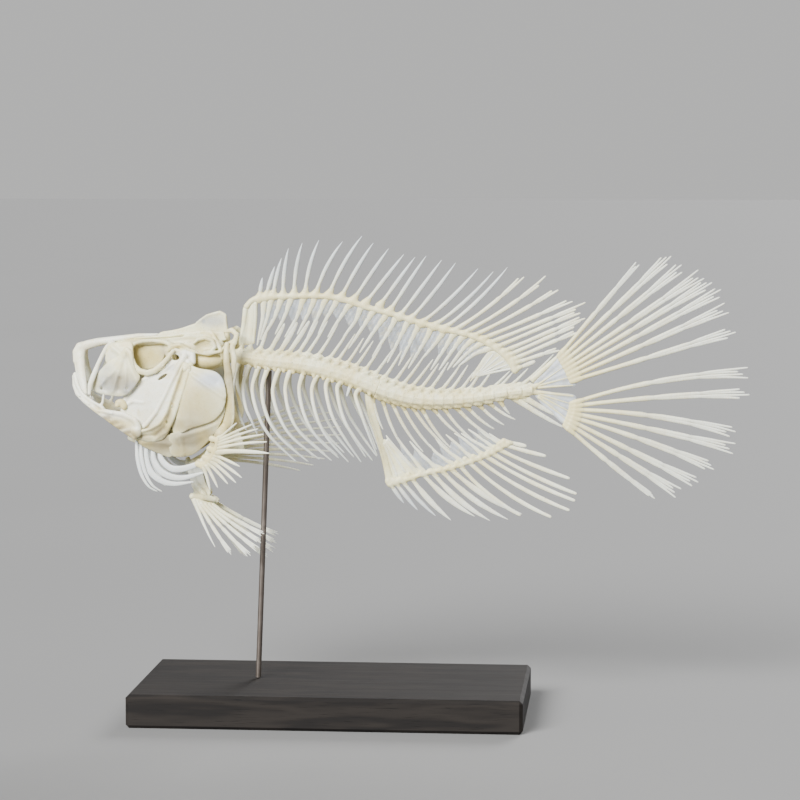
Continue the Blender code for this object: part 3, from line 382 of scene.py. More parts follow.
def leaf(outline, middle, thick, rim, rimThick, relief=(), holes=()):
    step = fish["leafStep"]
    outline = rounded(outline, 6)
    (s0, h0), (s1, h1) = outline.min(0) - step, outline.max(0) + step
    s, h = np.meshgrid(np.arange(s0, s1 + step, step), np.arange(h0, h1 + step, step), indexing="ij")

    def depthAt(a, b):
        depth = outlineDepth(a, b, outline)
        for hs, hh, rs, rh in holes:
            depth = np.minimum(depth, (np.hypot((a - hs) / rs, (b - hh) / rh) - 1) * min(rs, rh))
        return depth

    keep = depthAt(s[:-1, :-1] + step / 2, h[:-1, :-1] + step / 2) > 0
    for way in (keep, keep[::-1]):  # no two cells meet only at a corner
        way[1:, :-1] |= way[:-1, :-1] & way[1:, 1:] & ~way[:-1, 1:]
    group, before = np.arange(1, keep.size + 1).reshape(keep.shape) * keep, None
    while before is None or (group != before).any():  # cells that touch come to share one number
        ringed, before = np.pad(group, 1), group
        group = keep * np.maximum.reduce([ringed[i:i + keep.shape[0], j:j + keep.shape[1]] for i, j in ((1, 1),
            (0, 1), (2, 1), (1, 0), (1, 2))])
    keep = group == np.argmax(np.bincount(group[keep]))  # a speck beyond a narrow neck is left out
    padded = np.pad(keep, 1)
    touching = [padded[i:i + s.shape[0], j:j + s.shape[1]] for i in (0, 1) for j in (0, 1)]
    used = np.logical_or.reduce(touching)
    edge = used & ~np.logical_and.reduce(touching)
    for _ in range(2):
        depth = depthAt(s, h)
        small = 0.05
        slopeS = (depthAt(s + small, h) - depthAt(s - small, h)) / (2 * small)
        slopeH = (depthAt(s, h + small) - depthAt(s, h - small)) / (2 * small)
        size = np.maximum(slopeS ** 2 + slopeH ** 2, 0.3)
        move = np.where(edge, np.clip(depth, -0.9 * step, 0.9 * step), 0) / size
        s, h = s - move * slopeS, h - move * slopeH
    number = np.full(s.shape, -1)
    number[used] = np.arange(used.sum())
    a, b = np.nonzero(keep)
    quads = np.stack([number[a, b], number[a + 1, b], number[a + 1, b + 1], number[a, b + 1]], axis=1)
    s, h, depth = s[used], h[used], np.maximum(depthAt(s[used], h[used]), 0)
    level = middle(s, h) if callable(middle) else np.full(len(s), float(middle))
    for line, width, height in relief:
        near = np.full(len(s), 1e3)
        for p, q in zip(line, line[1:]):
            near = np.minimum(near, segmentDistance(s, h, p, q)[0])
        level = level + height * np.exp(-(near / width) ** 2)
    wall = np.maximum(rimThick, thick * np.minimum(1, np.sqrt(depth / rim)))
    outer = np.stack([s, level + wall / 2, h], axis=1)
    inner = np.stack([s, level - wall / 2, h], axis=1)
    count = len(s)
    sides = np.concatenate([quads[:, [0, 1]], quads[:, [1, 2]], quads[:, [2, 3]], quads[:, [3, 0]]])
    keys = np.sort(sides, axis=1)
    _, index, times = np.unique(keys, axis=0, return_index=True, return_counts=True)
    border = sides[index[times == 1]]
    wallQuads = np.stack([border[:, 0], border[:, 1], border[:, 1] + count, border[:, 0] + count], axis=1)
    faces = np.vstack([quads[:, ::-1], quads + count, wallQuads])
    edgeMark = np.tile(1 - np.minimum(1, depth / 1.6), 2)
    return smoothed(shapeFrom(np.vstack([outer, inner]), faces, {"thin": edgeMark}), 1)


# Materials: sums on sockets are written as sums, and add() makes every other node

class Wire:
    def __init__(self, tree, socket):
        self.tree, self.socket = tree, socket

    def sum(self, operation, first, second):
        return add(self.tree, "ShaderNodeMath", {"operation": operation}, {0: first, 1: second})

    def __add__(self, other):
        return self.sum("ADD", self, other)

    def __sub__(self, other):
        return self.sum("SUBTRACT", self, other)

    def __rsub__(self, other):
        return self.sum("SUBTRACT", other, self)

    def __mul__(self, other):
        return self.sum("MULTIPLY", self, other)

    def __truediv__(self, other):
        return self.sum("DIVIDE", self, other)

    def __rtruediv__(self, other):
        return self.sum("DIVIDE", other, self)

    __radd__, __rmul__ = __add__, __mul__


def add(tree, kind, settings=None, sockets=None, out=0):
    node = tree.nodes.new(kind)
    for name, value in (settings or {}).items():
        setattr(node, name, value)
    for name, value in (sockets or {}).items():
        if isinstance(value, Wire):
            tree.links.new(value.socket, node.inputs[name])
        else:
            node.inputs[name].default_value = value
    return Wire(tree, node.outputs[out])


def tinted(tree, share, first, second, mode="MIX"):
    pair = [(*colour, 1) if isinstance(colour, tuple) else colour for colour in (first, second)]
    return add(tree, "ShaderNodeMix", {"data_type": "RGBA", "blend_type": mode, "clamp_factor": True},
        {0: share, 6: pair[0], 7: pair[1]}, 2)


def step(tree, value, low, high, end=1):  # 0 below low, end above high
    return add(tree, "ShaderNodeMapRange", {"interpolation_type": "SMOOTHSTEP"},
        {"Value": value, "From Min": low, "From Max": high, "To Min": 0, "To Max": end})


def mark(tree, name):
    return add(tree, "ShaderNodeAttribute", {"attribute_name": name}, out=2)


def grain(tree, place, size, detail, roughness, shift):  # size in millimetres
    return add(tree, "ShaderNodeTexNoise", {"noise_dimensions": "4D"},
        {"Vector": place, "W": shift, "Scale": 1000 / size, "Detail": detail, "Roughness": roughness})


def newMaterial(name, fixed):  # fixed values are set straight on the shader's own sockets
    material = bpy.data.materials.new(name)
    material.use_nodes = True
    tree = material.node_tree
    shader = tree.nodes["Principled BSDF"]
    for socket, value in fixed.items():
        shader.inputs[socket].default_value = value
    return material, tree, shader, add(tree, "ShaderNodeTexCoord", out=3)


def feed(tree, shader, **wires):
    for name, wire in wires.items():
        tree.links.new(wire.socket, shader.inputs[name.replace("_", " ")])


boneTones = {
    "ivory": (0.79, 0.77, 0.52),
    "chalk": (0.865, 0.86, 0.725),
    "honey": (0.70, 0.605, 0.275),
    "ochre": (0.59, 0.485, 0.18),
    "umber": (0.185, 0.145, 0.07),
    "slate": (0.35, 0.38, 0.40),
    "frost": (0.735, 0.785, 0.825),
}


def boneMaterial(name, body, blotch, warmth=0.5, clear=None, pit=0.5, rough=(0.38, 0.6), bump=0.35):
    fixed = {"IOR": 1.5, "Subsurface Weight": 0.12, "Subsurface Radius": (1, 0.7, 0.45),
        "Subsurface Scale": 0.0012}
    material, tree, shader, place = newMaterial(name, fixed)
    patches = grain(tree, place, 7.5, 3, 0.6, 1.7)
    clouds = grain(tree, place, 3.4, 3, 0.6, 6.6)
    mottle = grain(tree, place, 1.7, 4, 0.62, 4.1)
    pores = grain(tree, place, 0.42, 2, 0.5, 8.3)
    stain, grey, crevice, tip = (mark(tree, each) for each in ("stain", "grey", "crevice", "tip"))
    colour = tinted(tree, step(tree, patches, 0.42, 0.62, warmth), boneTones[body], boneTones[blotch])
    colour = tinted(tree, step(tree, clouds, 0.5, 0.66, 0.6 * warmth), colour, boneTones["honey"])
    colour = tinted(tree, step(tree, mottle, 0.5, 0.72, 0.45), colour, boneTones["chalk"])
    colour = tinted(tree, mark(tree, "warm") * (0.55 + 0.6 * mottle), colour, boneTones["honey"])
    colour = tinted(tree, tip, colour, boneTones["frost"])
    colour = tinted(tree, grey * (0.55 + 0.7 * patches), colour, boneTones["slate"])
    # ochre for stains, which on undersides and in recesses is also painted shade
    colour = tinted(tree, stain * (0.5 + 0.9 * mottle), colour, boneTones["ochre"])
    # umber painted shade in hollows and creases, and the dark line at each joint of the column
    colour = tinted(tree, crevice * (0.35 + 0.5 * patches), colour, boneTones["umber"])
    rings = add(tree, "ShaderNodeMath", {"operation": "FRACT"}, {0: mark(tree, "run") * 1.05})
    joint = mark(tree, "jointed") * (1 - step(tree, rings, 0.05, 0.2))
    colour = tinted(tree, joint * 0.34, colour, boneTones["umber"])
    holes = 1 - step(tree, pores, 0.28, 0.42)
    colour = tinted(tree, holes * pit, colour, boneTones["umber"])
    roughness = rough[0] + (rough[1] - rough[0]) * mottle + 0.12 * crevice
    height = mottle * 0.55 + pores * 0.3 - holes * 0.5 * pit - joint * 0.8
    normal = add(tree, "ShaderNodeBump", None, {"Strength": bump, "Distance": 0.00035, "Height": height})
    feed(tree, shader, Base_Color=colour, Roughness=roughness, Normal=normal)
    if clear:  # thin bone that lets some light through, most at its rim and least in its ridges
        thin = mark(tree, "thin")
        alpha = 1 - (clear[0] + (clear[1] - clear[0]) * thin) * (0.6 + 0.7 * patches)
        feed(tree, shader, Alpha=add(tree, "ShaderNodeClamp", None, {0: alpha, 1: 0.12, 2: 1}))
    return material


def steelMaterial():
    fixed = {"IOR": 2.2, "Specular IOR Level": 0.5}
    material, tree, shader, place = newMaterial("dullSteel", fixed)
    stretched = add(tree, "ShaderNodeMapping", None, {"Vector": place, "Scale": (1, 1, 0.06)})
    lines = grain(tree, stretched, 0.35, 4, 0.6, 2)
    film = grain(tree, place, 5, 4, 0.65, 6)
    colour = tinted(tree, film, (0.12, 0.094, 0.075), (0.2, 0.175, 0.155))
    colour = tinted(tree, step(tree, film, 0.58, 0.74, 0.55), colour, (0.09, 0.055, 0.035))
    normal = add(tree, "ShaderNodeBump", None, {"Strength": 0.25, "Distance": 0.00012, "Height": lines})
    feed(tree, shader, Base_Color=colour, Roughness=0.3 + 0.28 * film + 0.12 * lines,
        Metallic=0.92 - step(tree, film, 0.58, 0.74, 0.5), Normal=normal)
    return material


def woodMaterial():
    fixed = {"IOR": 1.5, "Specular IOR Level": 0.14}
    material, tree, shader, place = newMaterial("blackStainedWood", fixed)
    long = add(tree, "ShaderNodeMapping", None, {"Vector": place, "Scale": (0.07, 1, 0.6)})
    waver = grain(tree, long, 7, 3, 0.55, 3)
    growth = add(tree, "ShaderNodeMath", {"operation": "SINE"}, {0: waver * 42})
    pores = grain(tree, add(tree, "ShaderNodeMapping", None, {"Vector": place, "Scale": (0.05, 1, 1)}), 0.5, 3,
        0.6, 5)
    colour = tinted(tree, growth * 0.5 + 0.5, (0.009, 0.0078, 0.0072), (0.017, 0.0142, 0.0122))
    colour = tinted(tree, step(tree, pores, 0.56, 0.7, 0.75), colour, (0.003, 0.0028, 0.0026))
    worn = mark(tree, "edgeWear") * grain(tree, place, 3, 4, 0.7, 7)
    colour = tinted(tree, step(tree, worn, 0.42, 0.6, 0.6), colour, (0.12, 0.085, 0.06))
    height = growth * 0.12 - step(tree, pores, 0.56, 0.7)
    normal = add(tree, "ShaderNodeBump", None, {"Strength": 0.4, "Distance": 0.00012, "Height": height})
    feed(tree, shader, Base_Color=colour, Roughness=0.48 + 0.2 * waver + 0.15 * pores, Normal=normal)
    return material


def floorMaterial():
    material, tree, shader, place = newMaterial("paleStudioFloor", {"IOR": 1.45})
    cloud = grain(tree, place, 260, 3, 0.5, 1)
    tooth = grain(tree, place, 0.9, 2, 0.5, 2)
    feed(tree, shader, Base_Color=tinted(tree, cloud, (0.19, 0.19, 0.188), (0.202, 0.202, 0.2)),
        Roughness=0.72 + 0.1 * cloud, Normal=add(tree, "ShaderNodeBump", None,
        {"Strength": 0.06, "Distance": 0.0002, "Height": tooth}))
    return material


looks = {
    "skull": boneMaterial("skullBone", "ivory", "honey", 0.6),
    "jaw": boneMaterial("jawBone", "chalk", "honey", 0.3, pit=0.35),
    "gill": boneMaterial("gillCoverBone", "ivory", "honey", 0.45, pit=0.3, rough=(0.32, 0.52)),
    "column": boneMaterial("columnBone", "ivory", "honey", 0.62, pit=0.6, bump=0.5),
    "rib": boneMaterial("ribBone", "ivory", "chalk", 0.6, pit=0.25),
    "fin": boneMaterial("finBone", "ivory", "honey", 0.5, pit=0.25, bump=0.3),
    "thin": boneMaterial("thinBone", "frost", "slate", 0.6, (0.12, 0.5), pit=0.2, rough=(0.28, 0.5)),
    "web": boneMaterial("webBone", "slate", "frost", 0.6, (0.3, 0.75), pit=0.2, rough=(0.3, 0.5)),
    "steel": steelMaterial(),
    "wood": woodMaterial(),
}
print("materials made:", len(looks))


# Geometry Nodes: a tree is given its named inputs, run once on a mesh and turned into a plain mesh

def startTree(name, inputs):
    tree = bpy.data.node_groups.new(name, "GeometryNodeTree")
    tree.is_modifier = True
    tree.interface.new_socket("Geometry", in_out="INPUT", socket_type="NodeSocketGeometry")
    for label, value in inputs.items():
        kind = {int: "NodeSocketInt", float: "NodeSocketFloat"}.get(type(value), "NodeSocketMaterial")
        made = tree.interface.new_socket(label, in_out="INPUT", socket_type=kind)
        if value is not None:
            made.default_value = value
    tree.interface.new_socket("Geometry", in_out="OUTPUT", socket_type="NodeSocketGeometry")
    node = tree.nodes.new("NodeGroupInput")
    return tree, {socket.name: Wire(tree, socket) for socket in node.outputs if socket.name}


def endTree(tree, geometry, material):
    geometry = add(tree, "GeometryNodeRealizeInstances", None, {0: geometry})
    geometry = add(tree, "GeometryNodeSetShadeSmooth", None, {0: geometry})
    geometry = add(tree, "GeometryNodeSetMaterial", None, {0: geometry, "Material": material})
    tree.links.new(geometry.socket, tree.nodes.new("NodeGroupOutput").inputs[0])


def runTree(tree, mesh, values):
    thing = bpy.data.objects.new(mesh.name, mesh)
    bpy.context.scene.collection.objects.link(thing)
    modifier = thing.modifiers.new("shape", "NODES")
    modifier.node_group = tree
    for socket in tree.interface.items_tree:
        if socket.item_type == "SOCKET" and socket.in_out == "INPUT" and socket.name in values:
            modifier[socket.identifier] = values[socket.name]
    graph = bpy.context.evaluated_depsgraph_get()
    made = bpy.data.meshes.new_from_object(thing.evaluated_get(graph), depsgraph=graph)
    shape = shapeOf(made)
    thing.modifiers.remove(modifier)
    bpy.data.objects.remove(thing, do_unlink=True)
    bpy.data.meshes.remove(made)
    return shape


def tubeTree():  # rounds each line of points into a bone, as wide and as deep as its points say
    tree, given = startTree("boneTube", {"Sides": 12, "Knobble": 0.05, "Knob Size": 1.2, "Seed": 3,
        "Material": None})
    wide = add(tree, "GeometryNodeInputNamedAttribute", {"data_type": "FLOAT"}, {"Name": "wide"})
    deep = add(tree, "GeometryNodeInputNamedAttribute", {"data_type": "FLOAT"}, {"Name": "deep"})
    line = add(tree, "GeometryNodeMeshToCurve", None, {0: given["Geometry"]})
    place = add(tree, "GeometryNodeInputPosition")
    line = add(tree, "GeometryNodeStoreNamedAttribute", {"data_type": "FLOAT_VECTOR", "domain": "POINT"},
        {0: line, "Name": "middle", "Value": place})
    ring = add(tree, "GeometryNodeCurvePrimitiveCircle", {"mode": "RADIUS"}, {0: given["Sides"], "Radius": 1})
    tube = add(tree, "GeometryNodeCurveToMesh", None, {0: line, 1: ring, "Scale": wide * 0.5, "Fill Caps": True})
    middle = add(tree, "GeometryNodeInputNamedAttribute", {"data_type": "FLOAT_VECTOR"}, {"Name": "middle"})
    squash = add(tree, "ShaderNodeCombineXYZ", None, {0: 1, 1: deep / wide, 2: 1})
    off = add(tree, "ShaderNodeVectorMath", {"operation": "SUBTRACT"}, {0: place, 1: middle})
    flat = add(tree, "ShaderNodeVectorMath", {"operation": "MULTIPLY_ADD"}, {0: off, 1: squash, 2: middle})
    tube = add(tree, "GeometryNodeSetPosition", None, {0: tube, "Position": flat})
    rough = add(tree, "ShaderNodeTexNoise", {"noise_dimensions": "4D", "normalize": False},
        {"Vector": place, "W": given["Seed"], "Scale": 1 / given["Knob Size"], "Detail": 2}, 1)
    bumps = add(tree, "ShaderNodeVectorMath", {"operation": "SCALE"},
        {0: rough, "Scale": given["Knobble"] * wide})
    tube = add(tree, "GeometryNodeSetPosition", None, {0: tube, "Offset": bumps})
    endTree(tree, tube, given["Material"])
    return tree


def toothTree():  # a row of small pegs along each line, leaning as they stand
    tree, given = startTree("toothRow", {"Spacing": 0.55, "Length": 0.9, "Width": 0.42, "Lean": 0.3, "Seed": 5,
        "Material": None})
    line = add(tree, "GeometryNodeMeshToCurve", None, {0: given["Geometry"]})
    row = add(tree, "GeometryNodeResampleCurve", {"mode": "LENGTH"}, {0: line, "Length": given["Spacing"]})
    peg = add(tree, "GeometryNodeMeshCone", None, {"Vertices": 7, "Side Segments": 3, "Radius Top": 0.12,
        "Radius Bottom": 0.5, "Depth": 1})
    spread = add(tree, "FunctionNodeRandomValue", {"data_type": "FLOAT"},
        {2: 0.72, 3: 1.12, "Seed": given["Seed"]}, 1)
    tilt = add(tree, "FunctionNodeRandomValue", {"data_type": "FLOAT_VECTOR"},
        {0: (-0.16, -0.16, -3), 1: (0.16, 0.16, 3), "Seed": given["Seed"] + 1})
    size = add(tree, "ShaderNodeCombineXYZ", None, {0: given["Width"], 1: given["Width"],
        2: given["Length"] * spread})
    lean = add(tree, "ShaderNodeCombineXYZ", None, {0: 0, 1: given["Lean"], 2: 0})
    turn = add(tree, "ShaderNodeVectorMath", {"operation": "ADD"}, {0: tilt, 1: lean})
    rows = add(tree, "GeometryNodeInstanceOnPoints", None, {"Points": row, "Instance": peg, "Rotation": turn,
        "Scale": size})
    endTree(tree, rows, given["Material"])
    return tree


trees = {"tube": tubeTree(), "tooth": toothTree()}


def lineMesh(name, rows):  # rows of points with their marks, as loose edges
    marks = sorted({each for row in rows for each in row if each != "path"})
    points = np.vstack([row["path"] for row in rows])
    starts = np.cumsum([0] + [len(row["path"]) for row in rows])
    edges = np.concatenate([np.stack([np.arange(a, b - 1), np.arange(a + 1, b)], axis=1) for a, b in zip(starts,
        starts[1:])])
    mesh = bpy.data.meshes.new(name)
    mesh.vertices.add(len(points))
    mesh.vertices.foreach_set("co", points.astype(np.float32).reshape(-1))
    mesh.edges.add(len(edges))
    mesh.edges.foreach_set("vertices", edges.astype(np.int32).reshape(-1))
    for each in marks:
        values = np.concatenate([row.get(each, np.zeros(len(row["path"]))) for row in rows])
        mesh.attributes.new(each, "FLOAT", "POINT").data.foreach_set("value", values.astype(np.float32))
    return mesh


def bar(points, wide, deep, tip=(0, 0), warm=(0, 0), jointed=0, **extra):
    points = np.asarray(points, float)
    length = runAlong(through(points, np.linspace(0, 1, 40)))[-1]
    count = max(6, int(length / fish["barStep"]) + 2)
    share = np.linspace(0, 1, count)
    share = np.concatenate([share[:-1], [1 - 0.35 / count, 1 - 0.1 / count, 1]])
    row = {"path": walk(points, share), "wide": through(wide, share), "deep": through(deep, share),
        "tip": through(tip, share), "warm": through(warm, share), "run": share * length,
        "jointed": np.full(len(share), jointed) * np.clip(share * 4 - 1, 0, 1)}
    rounding = np.array([1] * (len(share) - 3) + [0.82, 0.5, 0.12])
    row["wide"], row["deep"] = row["wide"] * rounding, row["deep"] * rounding
    for name, values in extra.items():
        row[name] = through(values, share)
    return row


def tubes(rows, knobble, knobSize, seed):
    values = {"Sides": fish["tubeSides"], "Knobble": knobble, "Knob Size": knobSize, "Seed": seed}
    shape = runTree(trees["tube"], lineMesh("bars", rows), values)
    del shape["marks"]["wide"], shape["marks"]["deep"]
    return shape


def strands(path, forks, spread, turn, wide, deep, jointed, **marks):
    # a soft ray: a stem that parts into two, and those again, near the fin's edge; some ends are worn short
    stem = walk(path, np.linspace(0, 1, 36))
    share = np.linspace(0, 1, len(stem))
    heading = np.gradient(stem, axis=0)
    heading /= np.linalg.norm(heading, axis=1)[:, None]
    side = np.stack([-heading[:, 2], np.zeros(len(stem)), heading[:, 0]], axis=1)
    stages = {0: ((0, 1, (0,)),), 1: ((0, 0.74, (0,)), (0.58, 1, (-1, 1))),
        2: ((0, 0.54, (0,)), (0.36, 0.82, (-1, 1)), (0.64, 1, (-1.5, -0.5, 0.5, 1.5)))}[forks]
    parting = stages[0][1] - 0.14
    narrow = np.interp(share, [0, parting, parting + 0.2, 1], [1, 1, 0.74, 0.5] if forks else [1, 1, 0.95, 0.8])
    rows = []
    for first, last, places in stages:
        # a branch grows out of the middle of what it leaves, which thins away behind it
        size = narrow * np.interp(share, [first, first + 0.14, last - 0.14, last],
            [1 if first == 0 else 0.4, 1, 1, 1 if last == 1 else 0.3])
        for number, place in enumerate(places):
            pair = np.sign(place)
            outer = np.clip((share - parting) / (1 - parting), 0, 1) ** 1.1
            inner = np.clip((share - 0.67) / 0.33, 0, 1) ** 1.2
            offset = (pair * outer + (place - pair if forks == 2 else 0) * 1.2 * inner) * spread
            worn = (0.05 if forks == 1 else 0.028) * ((number * 7 + turn * 5) % 3) if last == 1 and forks else 0
            keep = (share >= first - 1e-6) & (share <= last - worn + 1e-6)
            values = {name: through(value, share[keep]) for name, value in marks.items()}
            rows.append(bar((stem + side * offset[:, None])[keep], (through(wide, share) * size)[keep],
                (through(deep, share) * size)[keep], jointed=jointed, **values))
    return rows


# A finished piece: into the model's frame, painted shade in its hollows, materials and its place in the fish

def finish(name, shapes, node, look, others=(), otherLook=None):
    parts = [*shapes, *others]
    for part in parts:
        edges = edgesOf(part)
        points = part["points"]
        lift = neighbourMean(edges, points, len(points)) - points
        normal = normalsOf(part)
        length = np.linalg.norm(np.diff(points[edges], axis=1)[:, 0], axis=1).mean()
        hollow = (lift * normal).sum(1) / max(length, 1e-6)
        for _ in range(4):
            hollow = 0.5 * hollow + 0.5 * neighbourMean(edges, hollow, len(points))
        # painted shade: the more hollow a place, the more umber it is painted, as if shade fell there
        worn = np.clip(hollow * 5.5 - 0.05, 0, 1)
        part["marks"]["crevice"] = np.minimum(part["marks"].get("crevice", 0) + worn, 1.5)
    mixed = gather(parts)
    mixed["points"] = (mixed["points"] - (fish["length"] / 2, 0, 0)) * fish["millimetre"]
    mesh = meshFrom(name, mixed)
    mesh.materials.append(looks[look])
    if others:
        mesh.materials.append(looks[otherLook])
        index = np.repeat([0] * len(shapes) + [1] * len(others), [len(part["sizes"]) for part in parts])
        mesh.polygons.foreach_set("material_index", index.astype(np.int32))
    mesh.shade_smooth()
    thing = bpy.data.objects.new(name, mesh)
    bpy.context.scene.collection.objects.link(thing)
    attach(thing, "root")
    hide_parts(node)


def normalsOf(shape):
    points, corners, sizes = shape["points"], shape["corners"], shape["sizes"]
    start, end = sidesOf(shape).T
    cross = np.cross(points[start], points[end])
    owner = np.repeat(np.arange(len(sizes)), sizes)
    face = np.stack([np.bincount(owner, cross[:, axis], len(sizes)) for axis in range(3)], axis=1)
    normal = np.stack([np.bincount(corners, face[owner, axis], len(points)) for axis in range(3)], axis=1)
    return normal / np.maximum(np.linalg.norm(normal, axis=1), 1e-12)[:, None]


# Backbone

column = {
    "line": ((58.9, 129.2), (70, 127.6), (83, 126.2), (93.5, 124.1), (104, 120.8), (115.5, 116.4), (125, 114.2),
        (135, 113.9), (146, 114.7), (156.5, 116.5), (166.3, 117.8)),
    "starts": (58.9, 69.5, 79.4, 90.7, 100.8, 111.1, 120.6, 131.4, 142, 153, 166.3),  # every third vertebra
    "radii": (2.6, 3, 3.3, 3.5, 3.6, 3.6, 3.4, 3.1, 2.7, 2.3, 1.6),
    "waist": 0.93,
    # where each neural spine starts along the column, and its tip
    "neural": ((61, 62.5, 134), (64, 66, 136), (67.5, 71.5, 140), (70.5, 77.5, 141), (74, 82, 141.5),
        (77, 86.5, 142), (80.5, 89.5, 142), (83.5, 93, 142), (87.5, 97, 141.5), (91.5, 102, 141),
        (94.5, 103, 137.5), (98, 106, 136), (101, 109.5, 135), (104.5, 112.5, 133.5), (108, 116.5, 132),
        (111.5, 120, 132), (115, 124, 130.5), (118, 128, 130), (121, 131, 128.5), (124.5, 133, 127),
        (128, 136.5, 127.5), (132, 141, 127), (135.5, 143.5, 126.5), (139, 145.5, 124), (142, 148, 124),
        (145.5, 152, 124.5), (150, 158.5, 124.5), (153, 159.5, 124), (157, 165, 125.5), (161.5, 174, 130.5)),
    # the same for the haemal spines, from the first tail vertebra on
    "haemal": ((109, 113, 103), (112.5, 120.5, 96), (115.5, 127.5, 95), (119, 132, 95), (122.5, 137, 96),
        (126, 138, 96), (130, 141, 101), (134, 145.5, 99.5), (138, 155, 99), (142, 153, 103.5),
        (146.5, 156.5, 105), (150, 160.5, 107), (154.5, 158.5, 109), (159, 177.5, 104.5), (162, 178, 107.5)),
    "ends": ((168.6, 119.6), (168.6, 116.6)),
    "bladed": (4.2, 1.7),  # the neural spines near this one, over this spread, are broad blades
    # widths and depths from root to tip, and how blue, how yellow and how grey the bone is there
    "neuralBar": {"wide": (2.2, 1.4, 1.15, 1, 0.5), "deep": (1.3, 0.85, 0.65, 0.6, 0.42), "tip": (0, 0.15, 0.3),
        "warm": (0.25, 0.05, 0), "grey": (0, 0.25, 0.35)},
    "bladeExtra": (0, 0.3, 0.8, 0.9, 0.6),
    "haemalBar": {"wide": (2, 1.3, 1.15, 0.95, 0.45), "deep": (1.2, 0.8, 0.65, 0.6, 0.4), "tip": (0, 0.2, 0.35),
        "warm": (0.3, 0.05, 0), "grey": (0, 0.2, 0.3)},
}
columnFine = walk(inPlane(column["line"]), np.linspace(0, 1, 400))


def columnHeight(s):
    return np.interp(s, columnFine[:, 0], columnFine[:, 2])


def columnPoint(place):
    s = float(through(column["starts"], place / fish["vertebrae"])[0])
    return np.array([s, 0, columnHeight(s)])


def columnRadius(place):
    return float(through(column["radii"], place / fish["vertebrae"])[0])


def bowed(first, last, bow, count=9):  # an evenly curved path; bow is its rise as a share of its length
    first, last = np.asarray(first, float), np.asarray(last, float)
    share = np.linspace(0, 1, count)[:, None]
    rise = np.array([first[2] - last[2], 0, last[0] - first[0]])
    return first + (last - first) * share + rise * 4 * bow * share * (1 - share)


def spinePath(row, above):
    root, s, h = row
    start = (root, 0, columnHeight(root) + (1.2 if above else -1.2))
    return bowed(start, (s, 0, h), -0.02 if above or root > 158 else -0.055)


def vertebraFrame(place):  # its middle, the way the column runs there, and the way up from it
    way = columnPoint(min(place + 0.3, fish["vertebrae"])) - columnPoint(max(place - 0.3, 0))
    way = way / np.linalg.norm(way)
    return columnPoint(place), way, np.array([-way[2], 0, way[0]])


def centrum(clay, index, tail):  # a drum with a soft waist and struts, and the roots of what grows from it
    centre, way, up = vertebraFrame(index + 0.5)
    radius = columnRadius(index + 0.5)
    length = np.linalg.norm(columnPoint(index + 1) - columnPoint(index)) + 0.12
    low = centre - length / 2 - radius - 0.5
    high = centre + length / 2 + radius + 0.5

    def drum(s, y, h):
        t = (s - centre[0]) * way[0] + (h - centre[2]) * way[2]
        lift = (s - centre[0]) * up[0] + (h - centre[2]) * up[2]
        share = np.clip(np.abs(t) / (length / 2), 0, 1)
        lip = column["waist"] + (1 - column["waist"]) * share ** 2 - 0.05 * np.clip(share * 12 - 11, 0, 1)
        around = np.arctan2(lift, np.abs(y))
        struts = 0
        for angle, size in ((12, 0.05), (-24, 0.05), (52, 0.04), (-62, 0.03)):
            struts = struts + size * np.exp(-((around - math.radians(angle)) / 0.17) ** 2)
        wall = radius * (lip + struts * (1 - share ** 3)) - np.hypot(y, lift)
        return np.maximum(-wall, np.abs(t) - length / 2)

    clay.press(low, high, drum, 0.15)
    out = lambda along, side, rise: centre + way * along + np.array([0, side, 0]) + up * rise

    def root(path, wide):  # where a spine leaves the drum it spreads into it
        run = runAlong(path)[-1]
        leave = radius - 1.3
        clay.rope(walk(path, [(leave - 0.6) / run, (leave + 0.5) / run, (leave + 2.6) / run]),
            (wide, 0.62 * wide, 1.2), (2.2, 1.4, 0.8), 1)

    root(spinePath(column["neural"][index], True), 3.8 if index > 0 else 2.6)
    if tail:
        root(spinePath(column["haemal"][index - fish["trunkVertebrae"]], False), 3)
    for side in (1, -1):
        if index > 0:  # the two walls of the arch over the cord
            clay.rope([out(-0.3 * length, side * 0.5 * radius, 0.8 * radius),
                out(0.02 * length, side * 0.4 * radius, 1.02 * radius),
                out(0.3 * length, side * 0.12, 1.2 * radius)], (1.5, 1.3, 1.1), (1.1, 0.9, 0.8), 0.7)
        if tail:
            clay.rope([out(-0.3 * length, side * 0.5 * radius, -0.8 * radius),
                out(0.1 * length, side * 0.35 * radius, -0.98 * radius)], (1.5, 1.1), (1, 0.8), 0.7)
        elif index > 1:  # the short process that carries a rib
            clay.rope([out(-0.1 * length, side * 0.6 * radius, -0.4 * radius),
                out(0, side * 0.7 * radius, -0.86 * radius)], (1.9, 1.3), (1.4, 1.1), 0.6)


def spineBars(first, last):
    rows = []
    for index in range(first, last):
        values = column["neuralBar"]
        middle, spread = column["bladed"]
        broad = math.exp(-((index - middle) / spread) ** 2)
        wide = np.array(values["wide"]) + broad * np.array(column["bladeExtra"])
        thin = 0.86 if index > 24 else 1
        rows.append(bar(spinePath(column["neural"][index], True), **{**values, "wide": wide * thin}))
        if index >= fish["trunkVertebrae"]:
            row, values = column["haemal"][index - fish["trunkVertebrae"]], column["haemalBar"]
            strip = 1.5 if row[0] > 158 else 1
            rows.append(bar(spinePath(row, False), **{**values, "wide": np.array(values["wide"]) * strip}))
    return tubes(rows, 0.035, 1.6, 7)


def warmed(shape, amount):
    shape["marks"]["warm"] = np.full(len(shape["points"]), amount)
    return shape


